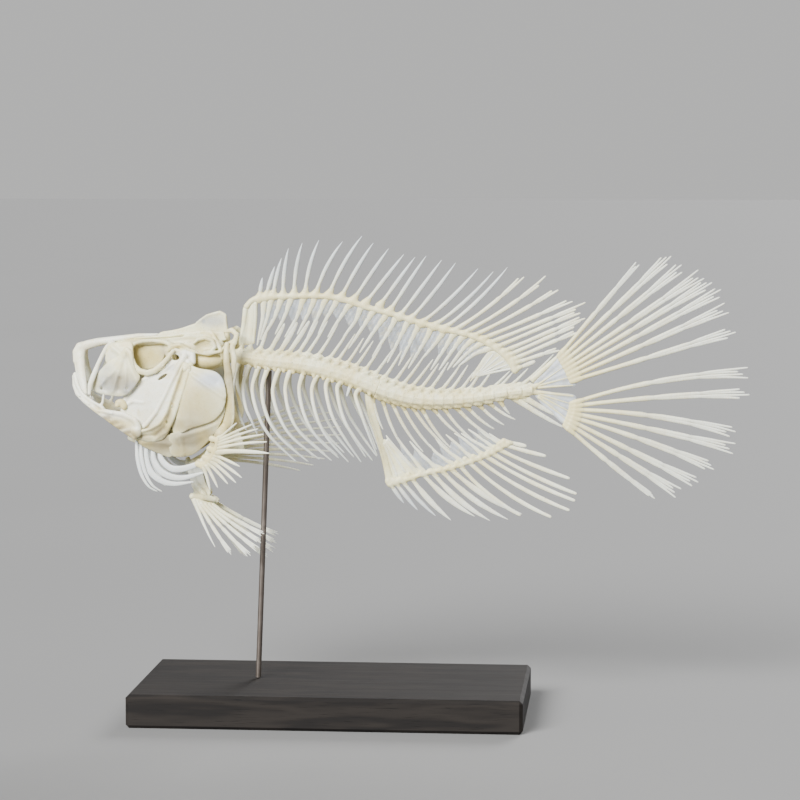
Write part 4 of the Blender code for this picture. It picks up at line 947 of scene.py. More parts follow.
def warmColumn(shape):  # yellower and darker below, part stain and part painted shade; darker at each joint
    s = shape["points"][:, 0]
    under = columnHeight(s) - shape["points"][:, 2]
    joint = np.min([np.abs(s - columnPoint(place)[0]) for place in range(1, fish["vertebrae"])], axis=0)
    shape["marks"]["warm"] = np.clip(0.22 + 0.2 * under, 0.05, 0.85)
    shape["marks"]["stain"] = np.clip(0.16 * (under - 1.2), 0, 0.4)
    shape["marks"]["crevice"] = 0.2 * np.exp(-(joint / 0.3) ** 2)
    return shape


for name, first, last, low, high in (("trunk", 0, 15, (56, -5, 105), (114, 5, 137)),
        ("caudal", 15, 30, (107, -4.8, 106), (170, 4.8, 126))):
    clay = Clay(low, high)
    for index in range(first, last):
        centrum(clay, index, index >= fish["trunkVertebrae"])
    if name == "caudal":  # the last drum narrows into the roots of the tail plates
        for s, h in column["ends"]:
            clay.rope([(164.5, 0, 117.6), (s, 0, h)], (2.8, 1.7), (2.6, 0.9), 0.6)
    parts = [warmColumn(clay.shape()), spineBars(first, last)]
    finish(name + "Vertebrae", parts, name + "_vertebrae", "column")
print("backbone made")


# Ribs

ribs = {
    # five places along each left rib, from its root to its tip
    "paths": (
        ((60, 124.5), (59.5, 118.5), (61, 112.5), (62.5, 107.5), (64.5, 103)),
        ((64, 124), (63, 118), (64.5, 111.5), (66.5, 107), (68.5, 101.5)),
        ((67.5, 123.5), (66.5, 117.5), (69, 109), (73.5, 101), (82.5, 92)),
        ((71, 123.5), (70, 117), (72.5, 108), (78, 100), (87, 92)),
        ((75, 123), (74, 117), (76.5, 109), (81.5, 101), (91, 93)),
        ((79, 122.5), (78.5, 117.5), (80.5, 109.5), (85, 102), (95.5, 92.5)),
        ((84, 122), (83.5, 117), (86, 108.5), (90.5, 101), (98, 93.5)),
        ((89, 121.5), (88, 117), (90, 109), (94, 101), (101.5, 92)),
        ((93.5, 121), (93, 118), (95.5, 109), (100, 101), (106, 92)),
        ((98, 120), (97, 117.5), (99.5, 108), (104, 100.5), (110, 92.5)),
        ((101.5, 119), (100.5, 116.5), (102.5, 110.5), (106.5, 103), (110, 95)),
        ((105, 118), (103.5, 115.5), (105.5, 110), (108.5, 102), (111.5, 94)),
    ),
    "spreads": (8, 9, 9.8, 10.4, 11, 11, 11, 10.6, 10, 9, 8, 7),
    "profile": (0.2, 0.6, 0.94, 1, 0.82),  # how far out each of the five places stands, as a share
    "head": (1, 2.2),  # how far behind the root, and under the line of the column, each rib starts
    "broken": 10,  # this left rib ends in a stub
    "bar": {"wide": (1.9, 1.45, 1.35, 1.15, 0.95, 0.5), "deep": (1.5, 1.1, 1, 0.9, 0.75, 0.45),
        "tip": (0, 0.3, 0.5), "warm": (0.4, 0.05, 0), "grey": (0.1, 0.3, 0.45, 0.5)},
}

for side, name in ((-1, "left"), (1, "right")):
    rows = []
    for index, (places, spread) in enumerate(zip(ribs["paths"], ribs["spreads"])):
        path = np.array([(s, side * spread * part, h) for (s, h), part in zip(places, ribs["profile"])])
        if side < 0 and index == ribs["broken"]:
            path = path[:2] + [(0, 0, 0), (-0.1, 0, -1.2)]
        s = path[0][0] + ribs["head"][0]
        path = np.vstack([(s, path[0][1] * 0.9, columnHeight(s) - ribs["head"][1]), path])
        rows.append(bar(path, **ribs["bar"]))
    finish(name + "Ribs", [tubes(rows, 0.04, 2.2, 11)], "ribs_" + name, "rib")
print("ribs made")


# Fins on the back and belly

dorsal = {
    "ridge": ((63.7, 147), (66.4, 149.6), (72, 150.6), (81, 150.8), (90, 150.9), (98, 149.9), (108, 146.7),
        (117, 144.4), (126, 141.6), (135, 139.3), (144, 137.1), (151, 134), (156, 130.4), (158.8, 127.1),
        (160.2, 124.6)),
    "spines": 18,
    # foot and tip of each spine, then of each soft ray
    "rays": (
        (68.5, 151, 69.5, 157.5), (71, 151.5, 74, 161.5), (73.5, 152, 76.5, 164.5),
        (77, 152, 79, 168), (81, 152.5, 84, 170), (85, 152.5, 90, 171),
        (89, 152.5, 98.5, 170.5), (94, 152.5, 105.5, 172.5), (98.5, 151.5, 109.5, 170),
        (103, 150.5, 115, 168), (107.5, 149.5, 120.5, 166), (112.5, 148.5, 124.5, 165),
        (116, 146.5, 128.5, 165.5), (119.5, 144.5, 134, 164), (123.5, 143.5, 139, 163),
        (127.5, 142, 147, 161), (132, 141, 152.5, 160), (135.5, 140, 157.5, 161.5),
        (139.5, 139.5, 163, 158.5), (143, 138.5, 171.5, 158), (146.5, 137.5, 177, 155),
        (150, 136.5, 180.5, 150), (152.5, 135, 185.5, 148.5), (155, 133.5, 185, 146.5),
        (157.5, 132, 185, 144), (159, 130.5, 184, 142), (160.5, 129, 184, 139.5),
        (161, 127.5, 176, 132.5), (161.5, 125.5, 167.5, 128),
    ),
    "bows": (0, 0.03, 0.04, 0, 0, -0.035, -0.03, 0, 0, 0),
    # top, middle and tip of each bearer under the ridge
    "bearers": (
        (70, 148.5, 69.5, 142.5, 67.5, 133), (72.5, 149, 71, 142.5, 68.5, 135),
        (76, 149, 73.5, 142.5, 69, 135), (79.5, 149, 77, 142.5, 74, 137),
        (84, 149, 81.5, 142.5, 77.5, 136), (88, 149, 85.5, 143.5, 82, 137),
        (92, 149, 89, 142.5, 85.5, 136), (96, 148.5, 93, 143.5, 89.5, 137),
        (101, 148, 97.5, 143, 93, 136), (105, 147, 103, 142, 98.5, 136),
        (109.5, 145.5, 106.5, 141, 100.5, 132), (114, 144, 110.5, 139.5, 104.5, 130.5),
        (117.5, 143, 114.5, 137.5, 109, 129), (121.5, 141, 119.5, 137, 114.5, 127),
        (125.5, 140, 123.5, 136, 118.5, 126), (130, 139, 128, 135, 122, 125),
        (134.5, 138, 132, 134.5, 126.5, 128), (138, 137, 135.5, 133, 130, 124.5),
        (141.5, 136.5, 138.5, 132.5, 133, 124.5), (144.5, 135, 141.5, 132, 136, 124.5),
        (147, 133.5, 143.5, 131, 138, 125.5), (150, 132, 146, 130.5, 140, 126),
    ),
    "plate": ((63.2, 147.2), (66.6, 148.8), (67.2, 143.6), (66.4, 138.4), (65.9, 133.6), (63.4, 133.2),
        (61, 133.4), (62, 139.6), (62.9, 144)),
    "fan": ((151.2, 131.6), (153.6, 131.4), (157.2, 128.6), (160.2, 124.8), (156.6, 124.9), (153, 125.2),
        (149.8, 124.4), (147.4, 122.8), (145.6, 121.6), (144.4, 122.4), (147, 126.2), (149, 129.2)),
    "fanLines": ((152.6, 130.6), (154.6, 129.6), (156.6, 128.2), (158, 126.8), (159.2, 125.4)),
    "webReach": (0.7, 0.66, 0.6, 0.56, 0.6, 0.48, 0.56, 0.5, 0.5, 0.62, 0.75, 0.85),
    "bearerBar": {"wide": (2.6, 1.9, 1.4, 1.2, 0.6), "deep": (1.3, 0.8, 0.65, 0.6, 0.45), "tip": (0, 0.2, 0.35),
        "warm": (0.3, 0.05, 0), "grey": (0, 0.25, 0.35)},
    "spinyShare": (0, 0.73),  # the part of the ridge, from front to back, under each half of the fin
    "softShare": (0.733, 1),
    "spinyBearers": 16,
    # points, widths and depths of the bars at the plate's two edges
    "plateBars": ((((63.4, 146.6), (62.6, 140), (61.4, 133.6)), (1.9, 1.7, 1.5), (1.4, 1.2, 1)),
        (((67, 148.8), (66.8, 142), (66, 133.6)), (1.5, 1.4, 1.2), (1.2, 1, 0.9))),
    "fanRoot": (146.4, 122.6),
}


def bearerPath(row, ridge, count=9):  # from the ridge down; the top runs on to where it meets the ridge
    top, middle, tip = (np.array([row[k], 0, row[k + 1]]) for k in (0, 2, 4))
    way = (top - middle) / np.linalg.norm(top - middle)
    ahead = (ridge - top) @ way
    off = np.linalg.norm(ridge - top - ahead[:, None] * way, axis=1) + np.where(ahead < 0, 50, 0)
    return course([ridge[off.argmin()], top, middle, tip], count)


def streaked(shape, across, depth=0.6):  # clearer and whiter streaks in thin bone
    wave = 0.5 + 0.5 * np.sin(across)
    shape["marks"]["thin"] = np.clip(0.35 * shape["marks"]["thin"] + depth * wave, 0, 1)
    shape["marks"]["grey"] = 0.7 * depth * wave
    return shape


def webs(rows, ridge, reach):  # thin bone in the corner between each bearer and the ridge
    found = []
    for index, (front, back) in enumerate(zip(rows, rows[1:])):
        share = float(through(reach, index / (len(rows) - 2))[0])
        before, after = bearerPath(front, ridge, 11), bearerPath(back, ridge, 11)
        low = max(2, int(round(share * 10)))
        corner = max(1, int(0.6 * low))
        outline = [before[0], before[corner], after[low] * 0.75 + before[low] * 0.25, after[low], after[low // 2],
            after[0]]
        web = leaf([(p[0], p[2]) for p in outline], lambda s, h: 0.12 * np.sin(2.4 * s + h), 0.3, 0.6, 0.2)
        way = before[5] - before[1]
        across = (web["points"][:, 0] * way[2] - web["points"][:, 2] * way[0]) / np.linalg.norm(way)
        found.append(streaked(web, across * 4.4 + index))
    return gather(found)


rayKinds = {
    "spine": {"wide": (1.7, 1.25, 1.5, 1.5, 1.3, 0.9, 0.25), "deep": (1.3, 1, 0.95, 0.9, 0.75, 0.55, 0.25),
        "tip": (0.05, 0.4, 0.6, 0.75, 0.85), "warm": (0.12, 0, 0), "grey": (0.05, 0.3, 0.55, 0.6, 0.5)},
    "blade": {"wide": (1.7, 1.5, 2, 2.1, 1.8, 1.2, 0.3), "deep": (1.3, 1, 0.8, 0.7, 0.6, 0.5, 0.25),
        "tip": (0.05, 0.3, 0.45, 0.5), "warm": (0.12, 0, 0), "jointed": 0.3, "grey": (0, 0.1, 0.15, 0.15)},
    "soft": {"wide": (1.7, 1.3, 1.5, 1.5, 1.1), "deep": (1.3, 0.8, 0.75, 0.65, 0.55), "tip": (0.1, 0.25, 0.35),
        "warm": (0.2, 0.05, 0), "jointed": 0.35},
}


def raySet(fin, blades, forks):  # hard spines first, then soft rays, which may part near their tips
    rows, rays, spines = [], fin["rays"], fin["spines"]
    for index, (s, h, tipS, tipH) in enumerate(rays):
        bow = float(through(fin["bows"], index / (len(rays) - 1))[0])
        path = bowed((s, 0, h), (tipS, 0, tipH), bow)
        if index < spines + blades:
            rows.append(bar(path, **rayKinds["spine" if index < spines else "blade"]))
        else:
            rows += strands(path, forks if runAlong(path)[-1] > 12 else 0, 0.62, index, **rayKinds["soft"])
    return rows


def feet(clay, rays, base):  # each ray stands on a small cone that spreads into the ridge
    for s, h, tipS, tipH in rays:
        foot, tip = np.array([s, 0, h]), np.array([tipS, 0, tipH])
        way = (tip - foot) / np.linalg.norm(tip - foot)
        clay.rope([foot - way * 1.2, foot + way * 0.1, foot + way * 2], (base, 0.64 * base, 1.1), (1.9, 1.5, 0.8),
            0.8)


ridgeLine = course(inPlane(dorsal["ridge"]), 90)

for name in ("spiny", "soft"):
    spiny = name == "spiny"
    line = walk(ridgeLine, np.linspace(*dorsal[name + "Share"], 60))
    clay = Clay(line.min(0) - (4 if spiny else 14, 2.4, 24 if spiny else 8), line.max(0) + (2, 2.4, 3.5))
    clay.rope(line, (2.1, 1.8, 2.2, 1.9, 2.1), (1.8,) * 5, 0.15)
    own, split = dorsal["spines"], dorsal["spinyBearers"]
    feet(clay, dorsal["rays"][:own] if spiny else dorsal["rays"][own:], 3.3 if spiny else 2.4)
    bearers = dorsal["bearers"][:split] if spiny else dorsal["bearers"][split:]
    rows = [bar(bearerPath(row, ridgeLine), **dorsal["bearerBar"]) for row in bearers]
    thin = [webs(bearers if spiny else dorsal["bearers"][split - 1:], ridgeLine, dorsal["webReach"])]
    if spiny:
        solid = leaf(dorsal["plate"], 0, 0.9, 0.7, 0.35, ((((64.8, 148), (63.4, 133.6)), 0.7, 0.3),))
        rows += [bar(inPlane(points), wide, deep) for points, wide, deep in dorsal["plateBars"]]
    else:
        root = dorsal["fanRoot"]
        fan = leaf(dorsal["fan"], 0, 0.55, 0.6, 0.25)
        solid = streaked(fan, 30 * np.arctan2(fan["points"][:, 2] - root[1], fan["points"][:, 0] - root[0]))
        rows += [bar(inPlane((root, end)), (1.2, 0.8, 1), (0.9, 0.7, 0.8),
            (0.3, 0.5)) for end in dorsal["fanLines"]]
        rows += [bar(inPlane(((147.6, 124.4), end)), (1.2, 0.6, 0.4), (0.9, 0.6, 0.4)) for end in ((144.2, 120.6),
            (146, 121.2))]
    rays = raySet(dorsal, 0, 1)
    rows += rays[:own] if spiny else rays[own:]
    parts = [warmed(clay.shape(), 0.5), tubes(rows, 0.03, 2.4, 17 if spiny else 35), solid]
    finish("dorsalFin" + name.capitalize(), parts, "dorsal_fin_" + name, "fin", thin, "web")
print("dorsal fin made")

anal = {
    "ridge": ((115.4, 83.6), (118.6, 84.6), (122.6, 85.6), (129.4, 87.8), (137.4, 89.6), (144.2, 91.8),
        (151.2, 94.8), (158.4, 98.6)),
    "spines": 3,
    "blades": 5,  # broad pointed rays that follow the spines
    "rays": (
        (115.5, 83.5, 120.5, 76.5), (117.5, 84, 125.5, 74), (120, 84.5, 132, 72),
        (123, 86, 137.5, 70.5), (127.5, 87, 146, 72), (131, 87.5, 151.5, 70.5),
        (134.5, 88, 158, 71), (137.5, 89, 163, 73), (140.5, 90.5, 162.5, 72.5),
        (143.5, 92, 173.5, 72), (146.5, 93, 180, 74.5), (149.5, 94, 182, 78),
        (152, 95, 182.5, 80.5), (154, 96.5, 180, 86), (156, 98, 171.5, 94),
        (157.5, 99, 164.5, 97.5),
    ),
    "bows": (-0.01, -0.03, -0.05, -0.05, -0.05, -0.03, -0.02, 0),
    "bearers": (
        (123, 90, 117, 97, 114, 101), (127.5, 88, 121, 96, 118, 100.5),
        (132, 89.5, 126, 95, 122.5, 99), (133, 89.5, 129, 92, 125.5, 95),
        (138.5, 90.5, 132.5, 94.5, 129.5, 98), (141, 92, 134.5, 97, 131, 101.5),
        (144.5, 93.5, 139.5, 98, 135.5, 101.5), (148, 95, 142.5, 99.5, 138.5, 102),
        (150.5, 96.5, 145, 99.5, 141, 102), (152, 97.5, 147, 101, 143.5, 103.5),
        (154, 99, 150.5, 101, 146.5, 104), (156, 98.5, 153.5, 100, 151, 102),
    ),
    "firstBearer": ((115.6, 84.6), (114.4, 90), (112.6, 96.8), (110.4, 104), (108.8, 109), (107.8, 115.8)),
    "plate": ((113.4, 99.6), (111.6, 96), (113.4, 90), (114.6, 84), (122, 86), (127, 87.8), (122.4, 91.2),
        (118.4, 95.2)),
    "plateLines": (((113.2, 98.4), (118.2, 86)), ((113.6, 98.8), (121.2, 87.4)), ((114, 99.4), (124, 88.8))),
    "webReach": (0.75, 0.7, 0.7, 0.8, 0.85, 0.9),
    "bearerBar": {"wide": (2.2, 1.5, 1.2, 1, 0.5), "deep": (1.1, 0.75, 0.6, 0.5, 0.4), "tip": (0.1, 0.3, 0.4),
        "warm": (0.3, 0, 0)},
}
line = course(inPlane(anal["ridge"]), 50)
clay = Clay((104, -2.6, 80), (162, 2.6, 116))
clay.rope(line, (2.5, 1.8, 1.6, 1.7, 1.4), (2, 1.7, 1.6, 1.5), 0.15)
first = inPlane(anal["firstBearer"])
clay.rope(course(first, 14), (2.6, 2.2, 2.4, 2.8, 3, 2.8), (1.8, 1.2, 1, 0.9, 1, 1.4), 0.4)
clay.rope(course(first - (0.9, 0, 0), 14), (1.4, 1.1, 1, 1.1, 1.2), (1.8, 1.6, 1.5, 1.4, 1.6), 0.4)
feet(clay, anal["rays"], 2.2)
rows = [bar(bearerPath(row, line), **anal["bearerBar"]) for row in anal["bearers"]]
rows += [bar(inPlane(pair), (1.5, 1.2, 1.2), (1.1, 0.9, 0.9), (0.2, 0.3)) for pair in anal["plateLines"]]
rows += raySet(anal, anal["blades"], 0)
thin = [webs(anal["bearers"], line, anal["webReach"])]
parts = [warmed(clay.shape(), 0.4), tubes(rows, 0.03, 2.4, 23), leaf(anal["plate"], 0, 0.6, 0.6, 0.25)]
finish("analFin", parts, "anal_fin", "fin", thin, "web")
print("anal fin made")


# Tail

tail = {
    "rays": 8,
    "spread": 1.15,
    "outerSpread": 0.45,  # the ray at each outer edge stays nearly closed
    "upper": {
        "base": ((176.9, 132.3), (178.7, 129.2), (180.6, 125.8), (182.9, 120.9)),
        "lengths": (41, 51.5, 52.5, 56.3, 58, 59.6, 58.6, 58.5),
        "angles": (50, 44, 39.5, 34.5, 32, 29, 24.5, 17.5),
        "turns": (0, 0),
    },
    "lower": {
        "base": ((182.6, 114.4), (182.4, 110.8), (181.3, 107.2), (179.5, 103)),
        "lengths": (61.5, 61.2, 57, 57.6, 53, 49.6, 45.2, 39.2),
        "angles": (10, 4.5, -8, -12, -19.5, -26, -32, -38.5),
        "turns": (-17, -7, -14, -3, -7, 0, 0, 5),
    },
    "ray": {"wide": (1.5, 1.6, 2.1, 1.9, 1.15), "deep": (1.7, 1.1, 1, 0.8, 0.6), "tip": (0, 0.25, 0.5),
        "warm": (0.5, 0.12, 0), "grey": (0, 0.15, 0.25), "jointed": 0.4},
}
for name in ("upper", "lower"):
    values = tail[name]
    base = inPlane(values["base"])
    clay = Clay(base.min(0) - (4, 2.4, 4), base.max(0) + (4.5, 2.4, 3.5))
    rows = []
    for ray in range(tail["rays"]):
        share = (ray + 0.5) / tail["rays"]
        foot = walk(base, [share])[0]
        part = ray / (tail["rays"] - 1)
        angle, length, turn = (float(through(values[each], part)[0]) for each in ("angles", "lengths", "turns"))
        way = np.array([math.cos(math.radians(angle - turn / 2)), 0, math.sin(math.radians(angle - turn / 2))])
        for side in (-0.5, 0.5):
            clay.rope([foot + way * along + (0, side * out, 0) for along, out in ((-2.2, 0.8), (-0.6, 1),
                (2.2, 0.9))], (1.9, 2.2, 1.4), (0.9, 1.4, 1), 0.3)
        path = sweep(foot + way * 0.6, angle - turn / 2, angle + turn / 2, length - 0.6, 14)
        spread = tail["outerSpread" if ray == (0 if name == "upper" else tail["rays"] - 1) else "spread"]
        rows += strands(path, 2, spread, ray, **tail["ray"])
    finish("caudalRays" + name.capitalize(), [warmed(clay.shape(), 0.8), tubes(rows, 0.03, 2.4, 31)],
        "caudal_rays_" + name, "fin")

plates = {
    "upper": {
        "outline": ((167.2, 120.8), (170.5, 124.2), (176, 131.2), (178.3, 128.2), (180.2, 124.4), (181.9, 119.2),
            (175, 118.9), (167.6, 118.2)),
        "root": (166.5, 118.6),
        # root end, outer end and width of each ridge on the plate
        "ridges": (((166, 121), (176.2, 130.2), 1.9), ((168.4, 119.6), (178.4, 126.6), 0.8),
            ((168.4, 119.2), (180.4, 122.6), 0.9), ((168.4, 118.6), (181.4, 119.6), 0.9)),
    },
    "lower": {
        "outline": ((167.2, 117.4), (174, 116.9), (181.6, 115.9), (181.7, 111.4), (180.4, 107.4), (178.4, 105.2),
            (173.2, 109.4), (168, 114.8)),
        "root": (166.5, 117.2),
        "ridges": (((168.4, 117), (181.4, 115.6), 1.1), ((168.4, 116.4), (181.2, 112.6), 0.8),
            ((168.6, 115.9), (180.8, 109.6), 0.8), ((168.4, 115.4), (179.6, 106.8), 0.9)),
    },
    "streaks": 36,
}
for name in ("upper", "lower"):
    values = plates[name]
    plate = leaf(values["outline"], 0, 0.75, 0.8, 0.28)
    around = np.arctan2(plate["points"][:, 2] - values["root"][1], plate["points"][:, 0] - values["root"][0])
    ridges = tubes([bar(inPlane((root, end)), (1.2 * wide, wide, 0.8 * wide), (1.5, 1.1, 0.8), (0, 0),
        (0.2, 0.1)) for root, end, wide in values["ridges"]], 0.04, 2.0, 41)
    finish("hypural" + name.capitalize(), [streaked(plate, around * plates["streaks"])], "hypural_" + name,
        "thin", [ridges], "fin")
print("tail made")


# Head: the cheek is a smooth shell that the plates of the face lie on

head = {
    "length": 60,
    "halfWidths": (5, 8.6, 10.8, 12.4, 13.7, 14.4, 13.8),
    "middle": 115,
    "halfHeight": 21,
    "narrowing": 0.3,
}


def cheek(s, h, depth=0):
    s, h = np.broadcast_arrays(np.asarray(s, float), np.asarray(h, float))
    widest = through(head["halfWidths"], s.ravel() / head["length"]).reshape(s.shape)
    return widest * (1 - head["narrowing"] * ((h - head["middle"]) / head["halfHeight"]) ** 2) - depth


def onCheek(pairs, depth=0):
    return np.array([(s, float(cheek(s, h, depth)), h) for s, h in pairs])


def bothSides(name, parts, node, look):  # the right-hand piece and its mirror image
    for side, turned in (("left", True), ("right", False)):
        shapes = [mirrored(part) if turned else dict(part, marks=dict(part["marks"])) for part in parts]
        finish(side + name, shapes, node + "_" + side, look)


# A clay piece says what is done to its block, in this order:
# rope: points, widths, depths or None, blend; ball and hollow: centre, reach, blend, tilt in degrees;
# sheet: outline, distance from the middle plane, thickness, blend; dig: a rope taken away.
# Marks are soft spots: place, height, reach along, reach up, strength. A thin plate's relief is lines, each
# with its width and height; its holes are place, height, reach along, reach up; depth is under the cheek.

def marked(shape, values):
    for name in ("stain", "grey", "crevice", "tip", "warm"):
        if name in values:
            dabbed(shape, name, values[name])
    for name, amount in values.get("even", {}).items():
        shape["marks"][name] = np.full(len(shape["points"]), amount)
    return shape


def moulded(values):
    clay = Clay(*values["block"])
    tools = {"rope": clay.rope, "dig": lambda *given: clay.rope(*given, True), "ball": clay.ball,
        "hollow": clay.hollow, "sheet": clay.sheet, "roof": clay.roof}
    for tool, *given in values["clay"]:
        tools[tool](*given)
    return marked(clay.shape(), values)


def facePlate(values):  # a thin plate that lies on the cheek, or on the level it gives
    level = values.get("level", lambda s, h: cheek(s, h, values["depth"]))
    plate = leaf(values["outline"], level, *(values[each] for each in ("thick", "rim", "rimThick", "relief")),
        values.get("holes", ()))
    return marked(plate, values)


skull = {
    "block": ((12.5, -11, 121), (60.8, 11, 146.2), True),
    "clay": (
        ("ball", (46, 0, 130.4), (9.2, 7.9, 5.3), 0.8),
        ("ball", (51.8, 0, 130), (6.4, 5.8, 4.8), 0.8),
        ("ball", (44.5, 4.6, 128.2), (4.2, 3.4, 3.4), 0.7),  # ear capsule
        ("rope", [(50, 0, 127.6), (55, 0, 128.4), (59, 0, 129.1)], (4.6, 4, 4.6), (5, 3.8, 4.4), 0.8),
        ("roof", (13.4, 16.5, 20.5, 23.5, 27, 31, 35, 39, 44, 50, 55.5),
            (132.6, 134, 134.7, 135, 135.2, 135.3, 135.5, 136, 136.6, 136.8, 136.2),
            (1.8, 3, 5, 5.8, 4.7, 4.3, 5.4, 7.4, 8.2, 7.6, 4.8), 1, 1.5, 0.5),
        ("rope", [(22.3, 5.8, 132.2), (24.2, 5.7, 134), (27, 4.9, 134.7), (31, 4.6, 134.9), (35, 5.7, 134.5),
            (38, 7.3, 133.2)], (1.2, 1.5, 1.5, 1.7, 1.7), None, 0.5),
        ("rope", [(23.5, 3, 135.6), (29, 2.5, 136), (35, 3, 136.4), (42, 4.4, 137.5), (49, 4.8, 138.3),
            (56.8, 4.4, 138.2)], (0.8, 1.1, 1, 1.1, 1), (1.1, 1.1, 0.8, 0.7, 0.7), 0.5),
        ("sheet", ((40, 135.5), (43, 137.6), (49, 138.4), (56.4, 138.2), (57.2, 135.2), (50, 134.8)),
            lambda s, h: 4.5 + 0.04 * (s - 40), 0.7, 0.5, 1),
        ("ball", (43.5, 5.6, 133.2), (6.4, 3, 2.5), 0.8),
        ("ball", (51, 4.9, 133.4), (5.2, 3.3, 2.7), 0.8),
        # keel under the eyes, its wings, and the block before them that carries the palate
        ("rope", [(14.2, 0, 129.2), (17, 0, 126.4), (21.5, 0, 124.5), (28, 0, 123.8), (36, 0, 124),
            (43, 0, 125.4), (52, 0, 127)], (2, 2.2, 1.5, 1.3, 1.7, 2.2), (3.4, 4.2, 2.4, 1.9, 2.6, 3.6), 0.7),
        ("ball", (16.6, 0, 130.6), (3, 2.7, 3.2), 0.8),
        ("ball", (19, 1.6, 132.4), (3, 2.6, 2), 0.8),
        ("ball", (22.2, 3, 129.4), (1, 3.9, 4.4), 0.7, -8),
        ("rope", [(21.8, 1, 125.4), (22.3, 5.2, 127.4), (22.4, 6.4, 130.6), (23, 6.1, 133.2)], (1.4, 1.7, 1.5),
            None, 0.5),
        ("rope", [(37.6, 7.5, 133.2), (38.4, 6.8, 130), (38.6, 4.6, 127.2), (38.2, 1.6, 125)], (2, 2, 1.7, 1.6),
            None, 0.7),
        ("sheet", ((21, 124.2), (21, 134.6), (29, 135.2), (39.5, 135.4), (41.5, 128), (39.5, 124.2)), 0,
            lambda s, h: 0.55 + 0.5 * np.clip((np.abs(h - 129.4) - 3.2) / 2, 0, 1), 0.6, 1),
        ("sheet", ((20.8, 124.6), (21.2, 133.6), (27, 135), (33, 134.6), (35.4, 130.4), (32.6, 125.2),
            (27, 123.6)), 0, 10.3, 0.7),  # dried skin of the eye socket's inner wall
        ("sheet", ((30.5, 135), (32.4, 137.6), (36, 138.3), (39.6, 139.1), (43.2, 140.3), (45.7, 141.2),
            (46.8, 142.4), (49.3, 143.8), (52.2, 144.9), (54, 145.2), (55.9, 144.4), (56.5, 142.2), (56.2, 139),
            (57, 135), (50, 133.5), (40, 134)), 0, lambda s, h: 0.8 + 0.9 * np.clip((138.5 - h) / 3.5, 0, 1),
            0.6),
        ("rope", [(45.7, 0, 141.1), (49.3, 0, 143.7), (54, 0, 145), (56, 0, 143.8), (56.3, 0, 139.5),
            (57, 0, 134.6)], (0.8, 1, 1, 1.2, 1.6), (0.9, 1, 1.2, 1.3, 1.5), 0.4),
        ("sheet", ((31.6, 134.6), (38, 134.4), (39.4, 128), (37.6, 125), (35.8, 127.2), (34, 131.2)),
            lambda s, h: 1.4 + 0.85 * (s - 32), 0.9, 0.6),
        # ridges and hollows of the side wall
        ("rope", [(36.4, 7.6, 131.4), (38, 8.5, 133.2), (40.9, 9, 133.7), (44, 9.1, 132.2)], (1.2, 1.5, 1.5, 1.2),
            None, 0.6),
        ("rope", [(37, 7.8, 132.8), (40.5, 8.9, 131.9), (45.5, 9.2, 131.5), (50.9, 8.9, 130.4),
            (55.4, 7.9, 131.4)], (1.3, 1.5, 1.4, 1.3, 1.1), None, 0.6),
        ("hollow", (49.4, 9.2, 133.3), (3.3, 2.1, 2.3), 0.5),
        ("hollow", (39.5, 9.2, 131.4), (1.8, 2, 1.1), 0.4, 10),
        ("ball", (50, 4.8, 127.6), (6, 4, 3), 0.8),
        ("hollow", (50, 2.6, 137.6), (6.6, 1.5, 1.5), 0.5),
        ("rope", [(46, 8.6, 134.4), (47.2, 8.2, 135.6), (49.9, 7.9, 136.2), (52.5, 7.7, 135.2), (53.4, 7.9, 133),
            (52.2, 8.3, 131.4), (49.6, 8.7, 131)], (1, 1.4, 1.5, 1.5, 1.5, 1.3, 1.1), None, 0.4),
        ("rope", [(51.6, 4.9, 138.2), (53.4, 6.2, 135.6), (55.6, 7.6, 131.6), (56, 6.2, 129)],
            (1.1, 1.4, 1.3, 1.5), None, 0.5),
        ("rope", [(44.2, 8.6, 131.2), (44.6, 8, 128.4), (46, 6.6, 125.8)], (1.4, 1.2, 1.2), None, 0.6),
        ("dig", [(54, 0, 131.6), (61.5, 0, 132.6)], (3, 3.4), (3.2, 3.6), 0.3),  # way in for the spinal cord
        ("hollow", (41.8, 6.4, 126), (0.9, 1.6, 0.8), 0.3),
        ("hollow", (24.6, 5, 129.6), (0.7, 0.9, 1), 0.3),
    ),
    "stain": ((27.8, 129.4, 7.5, 5.4, 0.95), (40.6, 133.2, 4, 1.1, 0.85), (49.2, 133.4, 3, 2.3, 0.65),
        (50, 127.4, 6.4, 3.4, 0.9), (53.4, 136.6, 1.4, 2.4, 0.6), (19, 131.5, 3, 1.4, 0.35),
        (57.5, 131, 2.4, 3, 0.45), (44, 135.4, 3, 1, 0.3)),
    "grey": ((51.5, 141.8, 5, 2.4, 0.75), (48.2, 141.6, 1.1, 1.1, 1), (33.8, 130.4, 1.6, 1.8, 0.7)),
}
finish("braincase", [moulded(skull)], "neurocranium", "skull")
print("braincase made")


# Jaws

def toothed(values):  # a jaw bone with its row of teeth
    row = values["teeth"]
    path = course(np.array(row["line"]) + row["shift"], 24)
    sizes = {"Spacing": 0.5, "Length": row["length"], "Width": 0.42, "Lean": row["lean"], "Seed": row["seed"]}
    return [moulded(values), runTree(trees["tooth"], lineMesh("toothLine", [{"path": path}]), sizes)]


